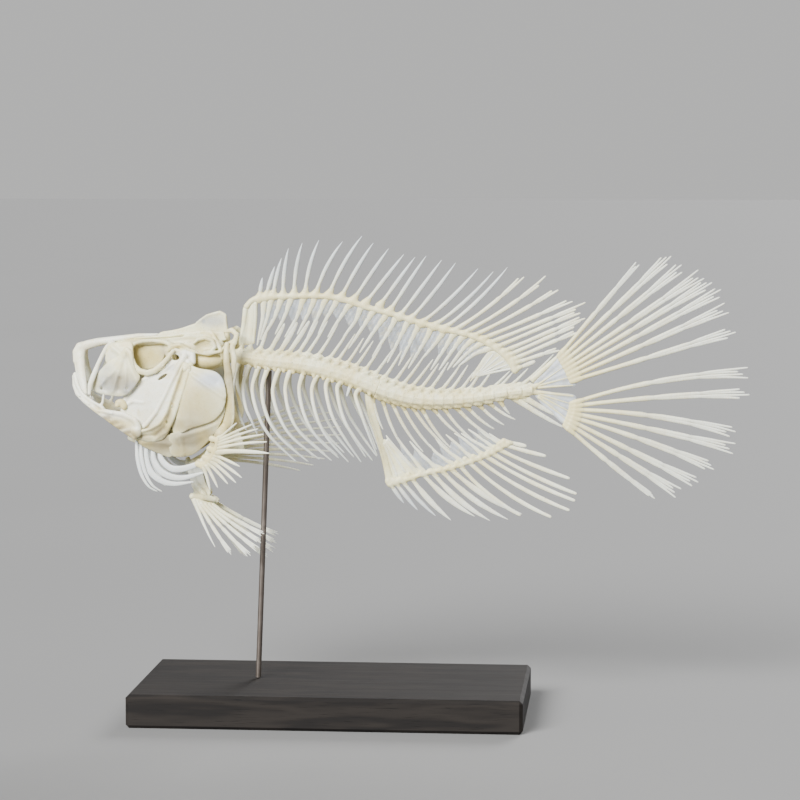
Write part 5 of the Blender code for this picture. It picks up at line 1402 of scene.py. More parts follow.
premaxilla = {
    "block": ((0.2, 0.15, 114.5), (32.5, 11, 138.5)),
    "clay": (
        ("rope", [(31, 1.2, 136.7), (24, 1.2, 136.3), (16, 1.3, 135), (9, 1.4, 133.8), (5.6, 1.6, 132.9)],
            (0.9, 1.5, 2, 2.7, 3.2), (0.9, 1.4, 1.7, 1.9, 2), 0.5),
        ("rope", [(6, 1.6, 132.8), (3.4, 1.9, 132.2), (2.3, 2.3, 130.4), (2.2, 2.8, 127.4)], (2.8, 3.5, 3.2, 2.6),
            (2, 2.2, 2, 1.5), 0.6),
        ("rope", [(4, 2, 131.6), (3.7, 2.9, 128.6), (4.1, 4.2, 124.8), (5.2, 6.3, 120.4), (6.5, 8.5, 116.3)],
            (3, 3.1, 3.1, 2.6, 1.4), (2, 1.8, 1.6, 1.4, 1), 0.6),
        ("sheet", ((1.6, 129.6), (1.9, 126.6), (2.5, 123.6), (3.7, 120.2), (5.2, 117.2), (6.3, 118.6), (5.2, 123),
            (4.1, 127.8), (3.6, 130.6)), lambda s, h: np.interp(h, (115, 118, 122, 126, 129.5),
            (8.3, 7, 4.9, 3.3, 2.3)) + 0.2 * (s - 4), 0.8, 0.5, 4),
        ("rope", [(1.7, 2, 129.4), (1.9, 2.8, 126.4), (2.6, 3.9, 123.3), (3.9, 5.9, 120), (5.4, 7.8, 117.2)],
            (0.8, 1.1, 1.1, 0.9, 0.7), None, 0.4),
    ),
    "stain": ((12, 133.2, 6, 0.8, 0.3), (6.5, 117, 1.2, 1.6, 0.3)),
    "teeth": {
        "line": ((1.75, 0.8, 128.7), (1.75, 2, 127.9), (2.1, 2.9, 125.4), (2.8, 4.1, 122.6), (4, 6, 119.6),
            (5.3, 7.7, 117.3)),
        "shift": (0.1, -0.3, -0.55), "length": 1.0, "lean": 3.05, "seed": 5},
}

maxilla = {
    "block": ((6.5, 1.5, 114), (17.5, 12.5, 136)),
    "clay": (
        ("rope", [(15.4, 3, 134.1), (13.7, 4.4, 132.6), (12.3, 6.6, 129.6), (10.9, 8.5, 126), (9.6, 9.7, 122.4),
            (8.5, 10.3, 119.2), (8.2, 10.5, 116.2)], (1.9, 1.5, 1.5, 1.6, 1.9, 1.9, 1.3),
            (1.6, 1.2, 1, 0.9, 0.8, 0.8, 0.7), 0.4),
        ("ball", (15.2, 2.9, 133.6), (1.5, 1.1, 1.1), 0.5),
        ("rope", [(13.2, 5, 131.6), (13.9, 6, 129.4)], (1.2, 0.7), None, 0.5),
    ),
    "stain": ((9, 119, 1.4, 2.2, 0.35), (14.6, 133.2, 1.4, 1, 0.3)),
}

jawSpread = ((0.3, 1.2, 2.6, 5, 8.2, 12, 16, 20, 27), (0.75, 1.9, 3.9, 5.9, 7.6, 8.8, 9.5, 10.1, 10.9))


def inJaw(pairs, out=0):
    return np.array([(s, float(np.interp(s, *jawSpread)) + out, h) for s, h in pairs])


mandible = {
    "block": ((0.2, 0.1, 98), (28.6, 13, 125)),
    "clay": (
        ("sheet", ((1.2, 123.2), (2.3, 120.8), (3.1, 117.8), (4.6, 115.6), (6.6, 114.4), (8.9, 112.9),
            (12.6, 111), (16.3, 109.9), (20.8, 109.2), (24.8, 107.4), (26.8, 104.8), (26.2, 101.2), (23.5, 101.2),
            (19.9, 103.2), (16.2, 105.8), (12.6, 108.2), (8.8, 111.1), (5, 113.9), (2.6, 115.6), (1.1, 118.4)),
            lambda s, h: np.interp(s, *jawSpread), 1, 0.4),
        ("rope", inJaw(((1.3, 121.6), (1.6, 118.4), (3, 115.7), (6, 113.1), (10, 110.2), (14, 107.5), (18, 104.8),
            (22, 102.1), (24.4, 100.6))), (1.9, 2.3, 2.1, 1.9, 1.8, 1.8, 1.7), (1.9, 2, 1.7, 1.6, 1.6, 1.5), 0.5),
        ("rope", inJaw(((1.6, 122.4), (2.6, 119), (4.2, 116.2), (6.6, 114.4), (9.6, 112.6), (13, 110.9)), 0.1),
            (1.6, 1.6, 1.3, 1.1, 1), None, 0.4),
        ("rope", inJaw(((11, 109.9), (16.6, 109.3), (20.8, 108.7), (24.8, 106.7), (26.2, 104), (25.9, 101.8)),
            0.35), (0.9, 1.6, 1.9, 1.8, 1.8), (1, 1.3, 1.4, 1.4), 0.5),
        ("rope", inJaw(((11.4, 110.6), (12.8, 112.9), (13.3, 116.4))), (1.6, 0.9, 0.8), (1, 0.8, 0.7), 0.5),
        ("ball", (25.3, 10.7, 102.6), (1.8, 1.6, 2), 0.6),
        ("hollow", (18.2, 11.1, 106.4), (3.6, 0.8, 1), 0.5, -34),
        ("hollow", (9.6, 9, 111.9), (3, 0.6, 0.45), 0.4, -34),
        *(("hollow", place, (0.45, 0.5, 0.3), 0.15, -34) for place in inJaw(((3.9, 114.4), (7.6, 111.7),
            (11.6, 109), (15.4, 106.3), (19.4, 103.6)), 0.9)),
    ),
    # painted shade: these stain and crevice spots darken the jaw's underside, along its lower edge and at its
    # angle
    "stain": ((17, 105.2, 7.5, 2.4, 0.95), (23.6, 101.4, 3.4, 2.4, 0.8), (10, 109.8, 4, 1.8, 0.6)),
    "crevice": (*((s, 117.5 - 0.69 * s, 2, 1, 1.4) for s in (14.5, 17, 19.5, 22)), (23.6, 101.6, 2.6, 1.8, 0.9)),
    "teeth": {
        "line": ((1.5, 1, 123.4), (2.1, 2.6, 121.9), (2.8, 4, 119.4), (4.2, 5.3, 117), (6.4, 6.9, 115.1),
            (8.8, 8, 113.6)),
        "shift": (0.25, -0.3, 0.2), "length": 0.95, "lean": 0.15, "seed": 9},
}
bothSides("Premaxilla", toothed(premaxilla), "premaxilla", "jaw")
bothSides("Maxilla", [moulded(maxilla)], "maxilla", "jaw")
bothSides("Mandible", toothed(mandible), "mandible", "jaw")
print("jaws made")


# Ring under the eye, cheek and gill cover

eyeRing = onCheek(((23.4, 131.6), (23.6, 128.8), (24.6, 126.2), (26.6, 124.3), (29.4, 123.7), (32.2, 124.6),
    (34.8, 126.8), (37, 129.4), (38.6, 131.6)), 0.75)
infraorbital = {
    "block": ((19.5, 5, 120.5), (41.5, 15, 134.5)),
    "clay": (
        ("rope", eyeRing, (1.1, 1.7, 2, 2.2, 2.2, 2, 1.7, 1.4), (0.9, 1.1, 1.2, 1.2, 1), 0.4),
        *(("hollow", (s, y + 0.8, h), (0.4, 0.5, 0.3), 0.15) for s, y, h in eyeRing[2:-1:2]),
    ),
    "stain": ((36.6, 129.4, 2.6, 1.8, 0.35), (24.4, 127, 1.4, 2.6, 0.25)),
}

lachrymal = {
    "outline": ((12, 124.6), (15.4, 128), (18.6, 129.8), (21.3, 132.8), (23.6, 131.2), (24.3, 127.8),
        (25.2, 124.8), (26.8, 122.2), (25.2, 119.2), (22.8, 116.6), (20, 115.3), (15, 115.5), (10.6, 116.4),
        (8.6, 118.6), (9.8, 121.8)),
    "depth": 0.2, "thick": 0.62, "rim": 0.8, "rimThick": 0.24,
    "relief": ((((20.8, 130.6), (17.4, 124.4), (12, 119.2)), 0.8, 0.5),
        (((20.9, 130.2), (18.8, 123.6), (16.6, 116.9)), 0.7, 0.45),
        (((21.2, 130.2), (21.6, 123.4), (21.4, 117.2)), 0.7, 0.4), (((21.8, 129.8), (23.6, 125), (25.8, 121)),
        0.8, 0.5), (((14.4, 121), (14.2, 117.6)), 0.9, -0.5), (((19.2, 121.6), (19, 117.8)), 0.9, -0.5)),
    "holes": ((12.4, 117.9, 0.45, 0.5), (22, 118.2, 0.35, 0.45)),
    "grey": ((16, 119.8, 9, 4, 0.95), (22.6, 118.6, 4.4, 3.2, 1), (14, 124.6, 3.4, 2.4, 0.5)),
    "stain": ((10.2, 119.8, 1.8, 2.2, 0.4), (24.6, 117, 1.6, 1.4, 0.4), (19, 121, 6, 3.6, 0.2)),
    # painted shade: the crevice spot darkens the lower middle of the plate
    "crevice": ((19.4, 120.4, 5.6, 3.4, 0.85),),
}
nose = {
    "outline": ((14.6, 133.6), (18.6, 134.5), (22.6, 134.7), (23.6, 132), (22.4, 128.6), (19.4, 126),
        (15.4, 125.6), (13.4, 128), (13.9, 131.4)),
    "depth": 2, "thick": 0.6, "rim": 0.8, "rimThick": 0.24,
    "relief": ((((15.6, 132.8), (19, 130.4), (21.6, 127.8)), 0.8, 0.5),),
    "stain": ((20.5, 133.6, 3, 1, 0.5),),
    "grey": ((16, 129, 2.6, 2.6, 0.35),),
}

suspensorium = {
    "block": ((19, 6, 98.5), (48, 15.5, 133.5)),
    "clay": (
        ("sheet", ((21.3, 102.2), (20.2, 105.8), (19, 110.2), (20.2, 114.8), (22.8, 117.8), (26, 120.4),
            (28.6, 122.2), (32.6, 122.8), (36.6, 124.2), (39.2, 126.4), (41.2, 126.2), (42, 122), (39.8, 113.5),
            (37.6, 107.6), (35, 103.2), (30.3, 101), (25, 100.9)), lambda s, h: cheek(s, h, 2.1), 0.6, 0.3),
        ("rope", onCheek(((24.4, 101.6), (21.6, 105), (20.2, 110), (21.2, 114.8), (24, 118.8)), 2),
            (2.2, 1.5, 1.3, 1.2, 0.9), (1.8, 1.2, 1), 0.5),
        ("rope", onCheek(((24.6, 101.8), (28.6, 105), (32.4, 109.6), (35.6, 115.4), (38.4, 121.4), (41, 126.4),
            (42.8, 129.6)), 1.7), (2, 1.4, 1.2, 1.2, 1.6, 2.4), (1.8, 1.2, 1.1, 1.3, 1.6), 0.6),
        ("rope", onCheek(((24.8, 101.8), (30.2, 101.6), (34.6, 103.8), (37.6, 108.6), (39.8, 114.4), (42, 121.4),
            (44.4, 127.6)), 1.9), (2, 1.5, 1.3, 1.3, 1.6, 2.4), (1.7, 1.2, 1.1, 1.2, 1.4), 0.5),
        ("sheet", ((27.6, 123), (30.6, 122.4), (34, 123.8), (36.2, 126.6), (36.8, 129.8), (38.4, 131.8),
            (41.2, 132), (44.6, 131.2), (45.8, 128), (44, 123.4), (38.6, 121), (32, 119.6)),
            lambda s, h: cheek(s, h, 2.3), 0.7, 0.4),
        ("rope", onCheek(((40.9, 130.8), (43, 131.2), (45.6, 130.2), (46, 127.6)), 2.4), (1.6, 2.2, 2.2, 1.8),
            (1.8, 2.2, 2), 0.6),
        ("rope", onCheek(((36.2, 126.6), (37, 130.2), (39.4, 131.9), (41.8, 131.2)), 2), (1.4, 1.3, 1.4, 1.6),
            (1.2, 1.3, 1.6), 0.5),
        ("rope", onCheek(((23.6, 117.8), (27, 120.8), (31, 122.6), (35.6, 124.6), (38.8, 127)), 2.2),
            (1.1, 1.3, 1.3, 1.2), (0.9, 1, 1), 0.4),
        ("rope", onCheek(((20.4, 111.6), (23.8, 113.4), (27.8, 113)), 1.9), (0.9, 1.3, 0.8), (0.8, 0.9, 0.6),
            0.5),
        ("ball", onCheek(((24.6, 101.7),), 1.9)[0], (1.9, 1.6, 1.5), 0.5),
        ("hollow", onCheek(((39.3, 129.3),), 2.1)[0], (1.55, 2.4, 1.05), 0.2, -8),
        ("hollow", onCheek(((34.9, 122.3),), 2.1)[0], (2, 2.4, 0.5), 0.2, 34),
        ("hollow", onCheek(((31.6, 126),), 2.1)[0], (0.9, 2.4, 0.5), 0.2),
    ),
    "stain": ((41.4, 124.6, 2, 3.4, 0.35), (31, 103.6, 4.6, 1.4, 0.35), (25.9, 109.4, 0.7, 1.6, 0.45),
        (36.4, 122.8, 2.4, 1.4, 0.35), (39.4, 131.8, 2.4, 0.9, 0.55)),
    "grey": ((31, 124, 3.4, 1.6, 0.4), (37.6, 125.6, 2.4, 1.4, 0.5)),
}

cheekPad = {  # a lump of dried tissue before the plate
    "block": ((16.5, 7, 109.5), (23, 12.5, 116)),
    "clay": (
        ("ball", (19.2, 9.4, 113), (1.9, 0.9, 1.2), 0.4, 12),
        ("ball", (20.6, 9.5, 111.8), (1.3, 0.9, 1.5), 0.7),
        ("ball", (18.2, 9.7, 111.8), (0.8, 0.7, 0.7), 0.6),
    ),
    "even": {"stain": 0.5, "warm": 0.9},
}

cheekGroove = ((42.9, 124.6), (41.4, 120.2), (39.6, 114.9), (37.8, 109.5), (35.6, 104.4), (32, 101.4),
    (26.6, 101))
preopercle = {
    "outline": ((42.3, 127.2), (40.6, 121.8), (38.8, 116.8), (37, 111.8), (35, 107.5), (32.2, 104.9), (29, 103.8),
        (25.9, 103), (24.8, 101.2), (26.2, 99.6), (30.4, 98.8), (35.2, 100.2), (38.4, 105.1), (40.6, 110.3),
        (42.5, 115.3), (44.3, 120.3), (45.4, 125.5), (44.2, 127.4)),
    "depth": 0.6, "thick": 0.7, "rim": 0.6, "rimThick": 0.3,
    "relief": ((((42, 125.6), (40.2, 120.2), (38.2, 114.6), (36.3, 109.4), (33.8, 105.6), (30, 103.6),
        (26.4, 102.6)), 0.55, 0.8), (cheekGroove, 0.5, -0.4), (((44.4, 124.6), (43, 119.4), (41.2, 114),
        (39.2, 108), (36.6, 102.8), (32, 99.9)), 0.5, 0.35)),
    "holes": ((38.6, 112, 0.28, 0.7), (36.5, 106.2, 0.35, 0.6)),
    "stain": (*((s, h, 0.75, 1.5,
        0.42 + 0.3 * math.sin(9 * k)) for k, (s, _, h) in enumerate(walk(inPlane(cheekGroove),
        np.linspace(0.02, 0.98, 26)))), (36, 104.6, 2.6, 3.4, 0.6), (29, 100.6, 3.8, 1.2, 0.45),
        (34, 102.6, 4, 2.2, 0.5)),
    # painted shade: the crevice spots darken the plate's lower corner
    "crevice": ((34.4, 102.8, 4.8, 3.4, 1), (37.6, 107.8, 1.8, 3.6, 0.6), (28, 100.4, 3.4, 1.6, 0.8)),
}


def opercleLevel(s, h):
    front = np.interp(h, (103, 108, 114, 120, 126), (39.2, 38.8, 40, 41.8, 43.6))
    return (cheek(s, h, 0) + 0.35 * np.exp(-((s - 49) / 7) ** 2 - ((h - 113) / 9) ** 2)
        - 1.5 * np.exp(-(np.maximum(s - front, 0) / 2.4) ** 2))


def growthLine(angle):  # a faint line of growth that runs from the hinge
    way = (math.cos(angle), math.sin(angle))
    return tuple((44 + reach * way[0], 125.4 + reach * way[1]) for reach in (3, 17)), 0.55, 0.09


opercle = {
    "outline": ((42.8, 125.2), (44.4, 126.8), (48.9, 125.6), (53.9, 124.7), (56.8, 122.2), (58.1, 117.8),
        (58.1, 114.3), (56.7, 110.4), (53.8, 107.3), (50.1, 105.7), (45.4, 104.2), (41.2, 102.2), (38.6, 102.4),
        (38.4, 108.2), (39.8, 114), (41.6, 119.6)),
    "level": opercleLevel, "thick": 0.5, "rim": 1.3, "rimThick": 0.2,
    "relief": (*(growthLine(math.radians(-98 + 11.5 * k)) for k in range(7)),
        (((44.2, 124.6), (47.2, 122.6), (50.8, 120.2), (54.4, 117.7), (57.6, 115.3)), 0.55, 0.55),
        (((45.4, 124.6), (49.6, 123.6), (54.6, 121)), 1.2, -0.3)),
    "tip": ((53.4, 121.6, 5.6, 3, 1),),
    "grey": ((54, 121.6, 4.6, 2.6, 0.45), (46, 108.6, 5, 3, 0.3)),
    "stain": ((49, 104.6, 7, 1.2, 0.5), (41.6, 111, 1.4, 8, 0.4), (48, 112.4, 7.5, 7, 0.38),
        (48, 118.6, 3, 2.2, 0.3)),
    "warm": ((46.6, 112, 8, 9, 0.5),),
    # the crevice spots paint the plate's middle and its lower front darker, the lower front as painted shade
    "crevice": ((46.4, 113, 8, 9, 0.45), (44.4, 105.4, 6.5, 2.8, 0.9)),
}
hinge = {
    "block": ((40.5, 9, 122.5), (48, 15, 129.5)),
    "clay": (
        ("rope", [*onCheek(((43.4, 125.4),), 0.6), *onCheek(((45.4, 126.8),), 1.2)], (2.2, 1.8), (1.5, 1.4), 0.4),
    ),
}

subopercle = {
    "outline": ((39.6, 102.6), (45.8, 104.8), (50.4, 106.4), (54.2, 108.2), (57.6, 112.2), (57, 108.2),
        (54.1, 102.8), (50.1, 98.1), (45.6, 94.5), (41, 93.4), (37.6, 94), (36.8, 98), (37.4, 101.6)),
    "depth": 0.9, "thick": 0.5, "rim": 1.2, "rimThick": 0.2,
    "relief": ((((39.8, 100.6), (44, 101.8), (49.4, 103.4), (54.2, 105.6)), 0.8, 0.3),
        (((41, 98), (46, 97.4), (51.4, 101)), 1.2, -0.25), (((41.2, 101.8), (42, 94.6)), 0.8, 0.35)),
    # painted shade: on this plate under the head the stain, crevice and grey spots stand for shade
    "stain": ((49.4, 100, 3.4, 5, 0.8), (42, 95, 4, 3, 0.6), (44, 100, 6, 3, 0.35)),
    "crevice": ((44.4, 98.8, 7.6, 5.2, 1.1), (52, 102, 4, 4, 0.8)),
    "grey": ((44.6, 100.6, 5, 3.6, 0.6),),
}

interopercle = {
    "outline": ((25.6, 99.6), (29.6, 100.4), (33.4, 101.4), (37.2, 101.6), (38.8, 98.6), (38.6, 94.6),
        (36.6, 93.2), (33.6, 94.2), (29.8, 95.8), (26.4, 97.6)),
    "depth": 1.1, "thick": 0.5, "rim": 1, "rimThick": 0.22,
    "relief": ((((26.6, 98.4), (32, 98.6), (37.4, 98.2)), 0.9, 0.35),),
    # painted shade: on this plate under the head the stain, crevice and grey spots stand for shade
    "stain": ((28.4, 98.2, 4.4, 2.4, 0.75), (34, 96.4, 5, 2.6, 0.5)),
    "crevice": ((33.4, 98.6, 7, 4, 1.3),),
    "grey": ((34.6, 96.6, 4.6, 3, 0.6),),
}


for name, node, slot, look, parts in (
        ("Infraorbital", "infraorbital", "skull_bone", "skull", [moulded(infraorbital)]),
        ("Suspensorium", "suspensorium", "skull_bone", "jaw", [moulded(suspensorium), moulded(cheekPad)]),
        ("Preopercle", "preopercle", "skull_bone", "skull", [facePlate(preopercle)]),
        ("Lachrymal", "lachrymal", "gill_cover_bone", "gill", [facePlate(lachrymal), facePlate(nose)]),
        ("Opercle", "opercle", "gill_cover_bone", "gill", [facePlate(opercle), moulded(hinge)]),
        ("Subopercle", "subopercle", "gill_cover_bone", "gill", [facePlate(subopercle)]),
        ("Interopercle", "interopercle", "gill_cover_bone", "gill", [facePlate(interopercle)])):
    bothSides(name, parts, node, look)
print("cheek and gill cover made")


# Throat: the bar inside the lower jaw with the rays that hang from it

hyoid = {
    "block": ((20, 3, 94.5), (41.5, 10.5, 103)),
    "clay": (
        ("rope", [(23.2, 5.4, 99.6), (27, 5.9, 98.4), (31, 6.3, 97.5), (35, 6.7, 97), (39, 7.2, 97.4)],
            (2.4, 3, 2.4, 3.4, 2.4), (1.6, 1.5, 1.2, 1.5, 1.4), 0.4),
        ("hollow", (31, 6.4, 97.6), (1.6, 2, 0.5), 0.3, -8),
        ("ball", (22.6, 4.6, 99.9), (1.7, 1.5, 1.4), 0.5),
    ),
    "rays": (((33, 97), (33.6, 92.8), (37, 89.6), (41, 89.2), (46, 90.6), (54.2, 94.6)),
        ((30.6, 97.4), (31, 92.4), (33.6, 88.4), (37.8, 86.3), (43, 86.2), (50.4, 88.4)),
        ((28.2, 98), (28.4, 92), (30.4, 87.6), (34.2, 84.8), (38.8, 83.8), (45.6, 84.5)),
        ((26.2, 98.4), (26.6, 93.4), (28.2, 87.6), (30.8, 83.2), (34.2, 80.8)),
        ((24.6, 98.8), (25.2, 92.8), (26.8, 87), (29.4, 82.8), (32.4, 80.9))),
    "spread": (6.6, 8.6, 9.6, 9.8, 9),  # how far out each ray stands, from root to tip
    "wide": (1.4, 2.1, 2.4, 2.1, 1.5, 0.6),
    "narrow": (1.2, 1.5, 1.4, 1, 0.5),  # the width of the last two
    "ray": {"deep": (1, 0.6, 0.5, 0.45, 0.4), "tip": (0.6, 0.7, 0.6), "warm": (0.1, 0, 0),
        "grey": (0.5, 0.45, 0.3, 0.1)},
}
bars = []
for ray, points in enumerate(hyoid["rays"]):
    out = through(hyoid["spread"], np.linspace(0, 1, len(points)))
    bars.append(bar([(s, y, h) for (s, h), y in zip(points, out)], hyoid["wide" if ray < 3 else "narrow"],
        **hyoid["ray"]))
bothSides("Hyoid", [moulded(hyoid), tubes(bars, 0.03, 2.4, 43)], "hyoid", "rib")
print("throat made")


# Shoulder and the fins under it

shoulder = {
    "block": ((41, 1.2, 88.5), (64.5, 14.6, 141.5)),
    "clay": (
        ("rope", course([(58, 9.6, 134), (57.9, 10.9, 129), (58.8, 12, 123), (59.3, 12.4, 115),
            (58.3, 11.8, 107.4), (54.6, 9.4, 99.6), (49.6, 5.8, 93.8), (43.6, 2.6, 91)], 16),
            (1.9, 2.4, 3, 3.2, 3.4, 3.6, 3.2, 1.6), (1.3, 1.3, 1.2, 1.1, 1.2, 1.3, 1.3, 1), 0.4),
        ("sheet", ((57.6, 124), (60.2, 118), (61, 112), (60.6, 106.4), (58.2, 100.6), (54.6, 95.2), (50.4, 91.4),
            (46.4, 90.4), (47.6, 93), (51.6, 97.8), (54.8, 103), (56.8, 110), (57.2, 118)),
            lambda s, h: np.interp(h, (90, 94, 99.6, 107.4, 115, 125),
            (3, 5.6, 9.2, 11.6, 12.2, 11.6)) + 0.1 * (s - 58), 0.7, 0.5),
        ("rope", [(56.4, 9.9, 102.6), (58.8, 8.6, 100.2), (63.6, 6.6, 95.8)], (1.6, 2.2, 1.2), (0.9, 0.8, 0.6),
            0.4),
        ("sheet", ((54.6, 103.4), (58.6, 104.6), (62, 102.6), (63.6, 95.6), (58.6, 95), (53.6, 95.6)),
            lambda s, h: 9.6 - 0.28 * (s - 55) + 0.06 * (h - 100), 0.55, 0.3),
        ("hollow", (57.4, 8.8, 99.6), (1.3, 1.6, 1.1), 0.3),
        ("rope", [(57.4, 11.2, 105.4), (56, 12.4, 102), (54.2, 12.3, 97.6), (51.6, 11.2, 93.6), (48.6, 9.4, 91),
            (47, 5.6, 91.6)], (2.4, 4.6, 5, 4.2, 3.2, 2), (1.4, 1.3, 1.2, 1.2, 1.2), 0.5),
        # forked bone that hangs the shoulder from the skull
        ("rope", [(57, 4.6, 138.3), (59.2, 5.6, 138.9), (61.2, 7, 137.4), (60.6, 8.6, 134.6), (59, 9.8, 131.4)],
            (1.3, 1.9, 1.7, 1.9, 1.6), (0.9, 1, 1.1, 1.2, 1.1), 0.4),
        ("rope", [(56.4, 8, 132.4), (58.2, 8.6, 134.2), (60.2, 8.2, 135.2)], (1, 1.3, 1.3), (0.9, 0.9, 0.9), 0.4),
        ("rope", [(59.8, 9.2, 133.6), (60.6, 10.2, 129), (60.4, 11.2, 124.4), (59.8, 11.9, 120)],
            (1.6, 2, 1.8, 1), (0.8, 0.8, 0.8, 0.6), 0.4),
    ),
    # the crevice spots are painted shade; the stain spots down the girdle's back edge are partly stain and partly
    # painted shade under the gill cover
    "stain": ((58.6, 126.6, 2.4, 4.6, 0.7), (58.6, 112, 2, 7, 0.95), (57.2, 105, 2.4, 3.4, 0.8),
        (59.6, 133, 2.2, 2, 0.4), (53.6, 100.6, 3.6, 3.6, 0.6)),
    "crevice": ((58.8, 122.6, 2.8, 7, 0.9), (52.6, 100.2, 4.2, 4.8, 0.9)),
}
bothSides("ShoulderGirdle", [moulded(shoulder)], "shoulder_girdle", "skull")

pectoral = {
    "base": ((55.8, 14.4, 101.2), (54.8, 14, 96.8), (52.6, 13, 93), (49.2, 11.6, 90.2)),
    "ray": {"deep": (1.6, 0.8, 0.7, 0.55, 0.35), "tip": (0.05, 0.25, 0.45), "warm": (0.45, 0.2, 0.05),
        "jointed": 0.6},
    # place along the base, angle, bend, length, how far it leans out, and thickness of each ray
    "left": ((0.03, 41, 0, 10, 24, 0.8), (0.07, 26, 4, 15.5, 23, 0.9), (0.14, 20.5, 8, 17.5, 22, 0.9),
        (0.21, 15, 10, 19, 20, 1), (0.3, 9.5, 12, 20, 18, 1), (0.4, 0.5, 10, 20.6, 15, 1.5),
        (0.5, -22, 6, 10.5, 12, 1.1), (0.58, -33, 6, 13, 10, 1.2), (0.68, -40, 6, 12.4, 9, 1.2),
        (0.78, -46, 6, 10.6, 8, 1.1), (0.87, -62, 6, 9.4, 6, 1.1), (0.96, -74, 6, 9, 4, 1.1)),
    "right": tuple((0.04 + 0.92 * k / 10, 19 - 27 * k / 10, 12, 27 + 16 * math.sin(math.pi * (k + 1.2) / 12.5),
        14 - 6 * k / 10, 1) for k in range(11)),
}
for side, sign, seed in (("left", -1, 51), ("right", 1, 53)):
    base = np.array(pectoral["base"]) * (1, sign, 1)
    clay = Clay(base.min(0) - (5, 3, 3), base.max(0) + (3.5, 3, 4))
    for share in (0.08, 0.36, 0.64, 0.92):  # four small bones between the shoulder and the rays
        end = walk(base, [share])[0]
        clay.rope([end + (-2.6, -1.1 * sign, 0.4), end + (-1.5, -0.5 * sign, 0.2), end + (-0.2, 0, 0)],
            (2.4, 1.9, 2.4), (1.2, 0.95, 1.2), 0.6)
    clay.rope(course(base, 10), (1.7, 2.6, 2.6, 1.9), (1.2, 1.3, 1.3, 1.1), 0.8)
    bars = []
    for share, angle, bend, length, lean, size in pectoral[side]:
        foot = walk(base, [share])[0]
        path = sweep(foot, angle + bend / 2, angle - bend / 2, length, 14, sign * lean)
        bars.append(bar(path, (1.9 * size, 1.15 * size, 1.05 * size, 0.9 * size, 0.45), **pectoral["ray"]))
    body = dabbed(warmed(clay.shape(), 0.7), "stain", ((53, 95, 4, 5, 0.35),))
    finish(side + "PectoralFin", [body, tubes(bars, 0.04, 2.0, seed)], "pectoral_fin_" + side, "fin")

pelvis = {
    "block": ((40, -6.5, 75), (54.5, 6.5, 93.5), True),
    "clay": (
        ("rope", [(42, 1.1, 91.8), (43.4, 1.3, 87.4), (45.4, 1.9, 82.6), (48.2, 2.6, 79.2)], (1.5, 1.8, 2, 2.2),
            (1.2, 1.2, 1.4, 1.6), 0.4),
        ("sheet", ((41.2, 90.8), (44.4, 91), (47.2, 90), (48.6, 84), (50.8, 79.6), (48, 78.2), (44.4, 80.4),
            (42.8, 85.6)), lambda s, h: 1 + 0.1 * (91 - h), 0.6, 0.3),
        ("rope", [(44.4, 4.6, 78.8), (47.6, 3.6, 78.2), (51.6, 1.2, 77.2)], (2.4, 2.4, 2.2), (2, 2, 1.8), 0.5),
        ("rope", [(48.4, 1.4, 78.6), (52.6, 0.9, 76.8)], (2.2, 1.6), (1.4, 1), 0.4),
    ),
    "stain": ((47, 78.6, 3.4, 1.6, 0.4),),
    "grey": ((45, 87, 5, 5.6, 0.8),),
}
finish("pelvicGirdle", [moulded(pelvis)], "pelvic_girdle", "gill")

pelvic = {
    "base": ((44.6, 4.4, 78.2), (48, 4.6, 76.4), (51.6, 3.6, 75.6)),
    "angles": (-64, -55, -45, -38.5, -33.5, -28),
    "lengths": (19.5, 23.5, 27, 26, 24, 22),
    "spine": {"wide": (2.2, 1.4, 1.1, 0.8, 0.35), "deep": (1.8, 1.1, 0.9, 0.7, 0.3), "tip": (0.1, 0.5, 0.6),
        "warm": (0.2, 0, 0)},
    "ray": {"wide": (1.8, 1.4, 1.5, 1.2, 0.5), "deep": (1.6, 0.9, 0.8, 0.6, 0.3), "tip": (0.1, 0.3, 0.5),
        "warm": (0.25, 0.1, 0), "jointed": 0.4},
}
for side, sign, reach, seed in (("left", -1, 1, 61), ("right", 1, 1.18, 67)):
    base = np.array(pelvic["base"]) * (1, sign, 1)
    clay = Clay(base.min(0) - (2, 2.4, 3), base.max(0) + (2, 2.4, 3))
    clay.rope(course(base, 8), (1.6, 1.8, 1.5), (1.4, 1.5, 1.3), 0.3)
    bars = []
    for ray, (angle, length) in enumerate(zip(pelvic["angles"], pelvic["lengths"])):
        foot = walk(base, [0.04 + 0.92 * (ray / 5)])[0]
        lean = sign * (13 - 6 * (ray / 5))
        path = sweep(foot, angle - 5, angle + 5, reach * length, 14 if ray else 12, lean)
        bars += strands(path, 2, 0.55, ray, **pelvic["ray"]) if ray else [bar(path, **pelvic["spine"])]
    finish(side + "PelvicFin", [warmed(clay.shape(), 0.4), tubes(bars, 0.03, 2.4, seed)], "pelvic_fin_" + side,
        "fin")
print("shoulder and paired fins made")


# Stand: the CAD's own rod and base, with their metal and wood

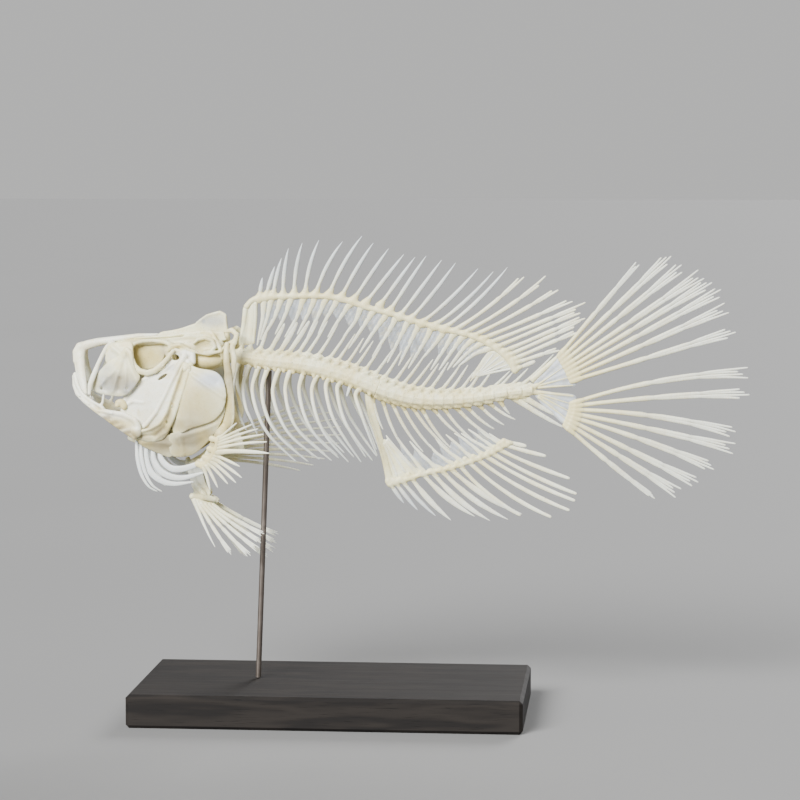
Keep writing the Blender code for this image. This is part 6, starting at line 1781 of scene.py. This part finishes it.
for node, look in (("stand_rod", "steel"), ("stand_base", "wood")):
    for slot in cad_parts[node].material_slots:
        slot.material = looks[look]


# Floor, lights and camera

studio = {
    "aim": (-0.0033, 0.0, 0.11376),
    "distance": 1.0,
    "azimuth": 5.0,
    "elevation": 5.0,
    "lens": 125.5,
    "wall": (0.586, 0.586, 0.581),  # what the camera sees behind the model
    "fill": (0.25, 0.25, 0.26),  # the soft light from all around
    # direction the light comes from, strength and softness in degrees
    "key": ((-0.42, -0.85, 0.6), 10.0, 30.0),
    "rim": ((0.35, 0.9, 0.55), 2.6, 25.0),
}

floorMesh = shapeFrom([(-6, -6, 0), (6, -6, 0), (6, 12, 0), (-6, 12, 0)], [(0, 1, 2, 3)])
floor = bpy.data.objects.new("studioFloor", meshFrom("studioFloor", floorMesh))
bpy.context.scene.collection.objects.link(floor)
floor.data.materials.append(floorMaterial())

world = bpy.data.worlds.new("paleStudio")
world.use_nodes = True
seen = add(world.node_tree, "ShaderNodeLightPath")
feed(world.node_tree, world.node_tree.nodes["Background"], Color=tinted(world.node_tree, seen, studio["fill"],
                                                                        studio["wall"]))
bpy.context.scene.world = world

for name in ("key", "rim"):
    way, strength, softness = studio[name]
    light = bpy.data.lights.new(name, "SUN")
    light.energy, light.angle = strength, math.radians(softness)
    lamp = bpy.data.objects.new(name, light)
    bpy.context.scene.collection.objects.link(lamp)
    lamp.rotation_euler = Vector(way).to_track_quat("Z", "Y").to_euler()

azimuth, elevation = math.radians(studio["azimuth"]), math.radians(studio["elevation"])
back = Vector((math.sin(azimuth) * math.cos(elevation), -math.cos(azimuth) * math.cos(elevation),
               math.sin(elevation)))
camera = bpy.data.objects.new("camera", bpy.data.cameras.new("camera"))
camera.data.lens = studio["lens"]
camera.data.sensor_width = 36.0
camera.data.clip_end = 50.0
camera.location = Vector(studio["aim"]) + back * studio["distance"]
camera.rotation_euler = back.to_track_quat("Z", "Y").to_euler()
bpy.context.scene.collection.objects.link(camera)
bpy.context.scene.camera = camera
print("studio made")
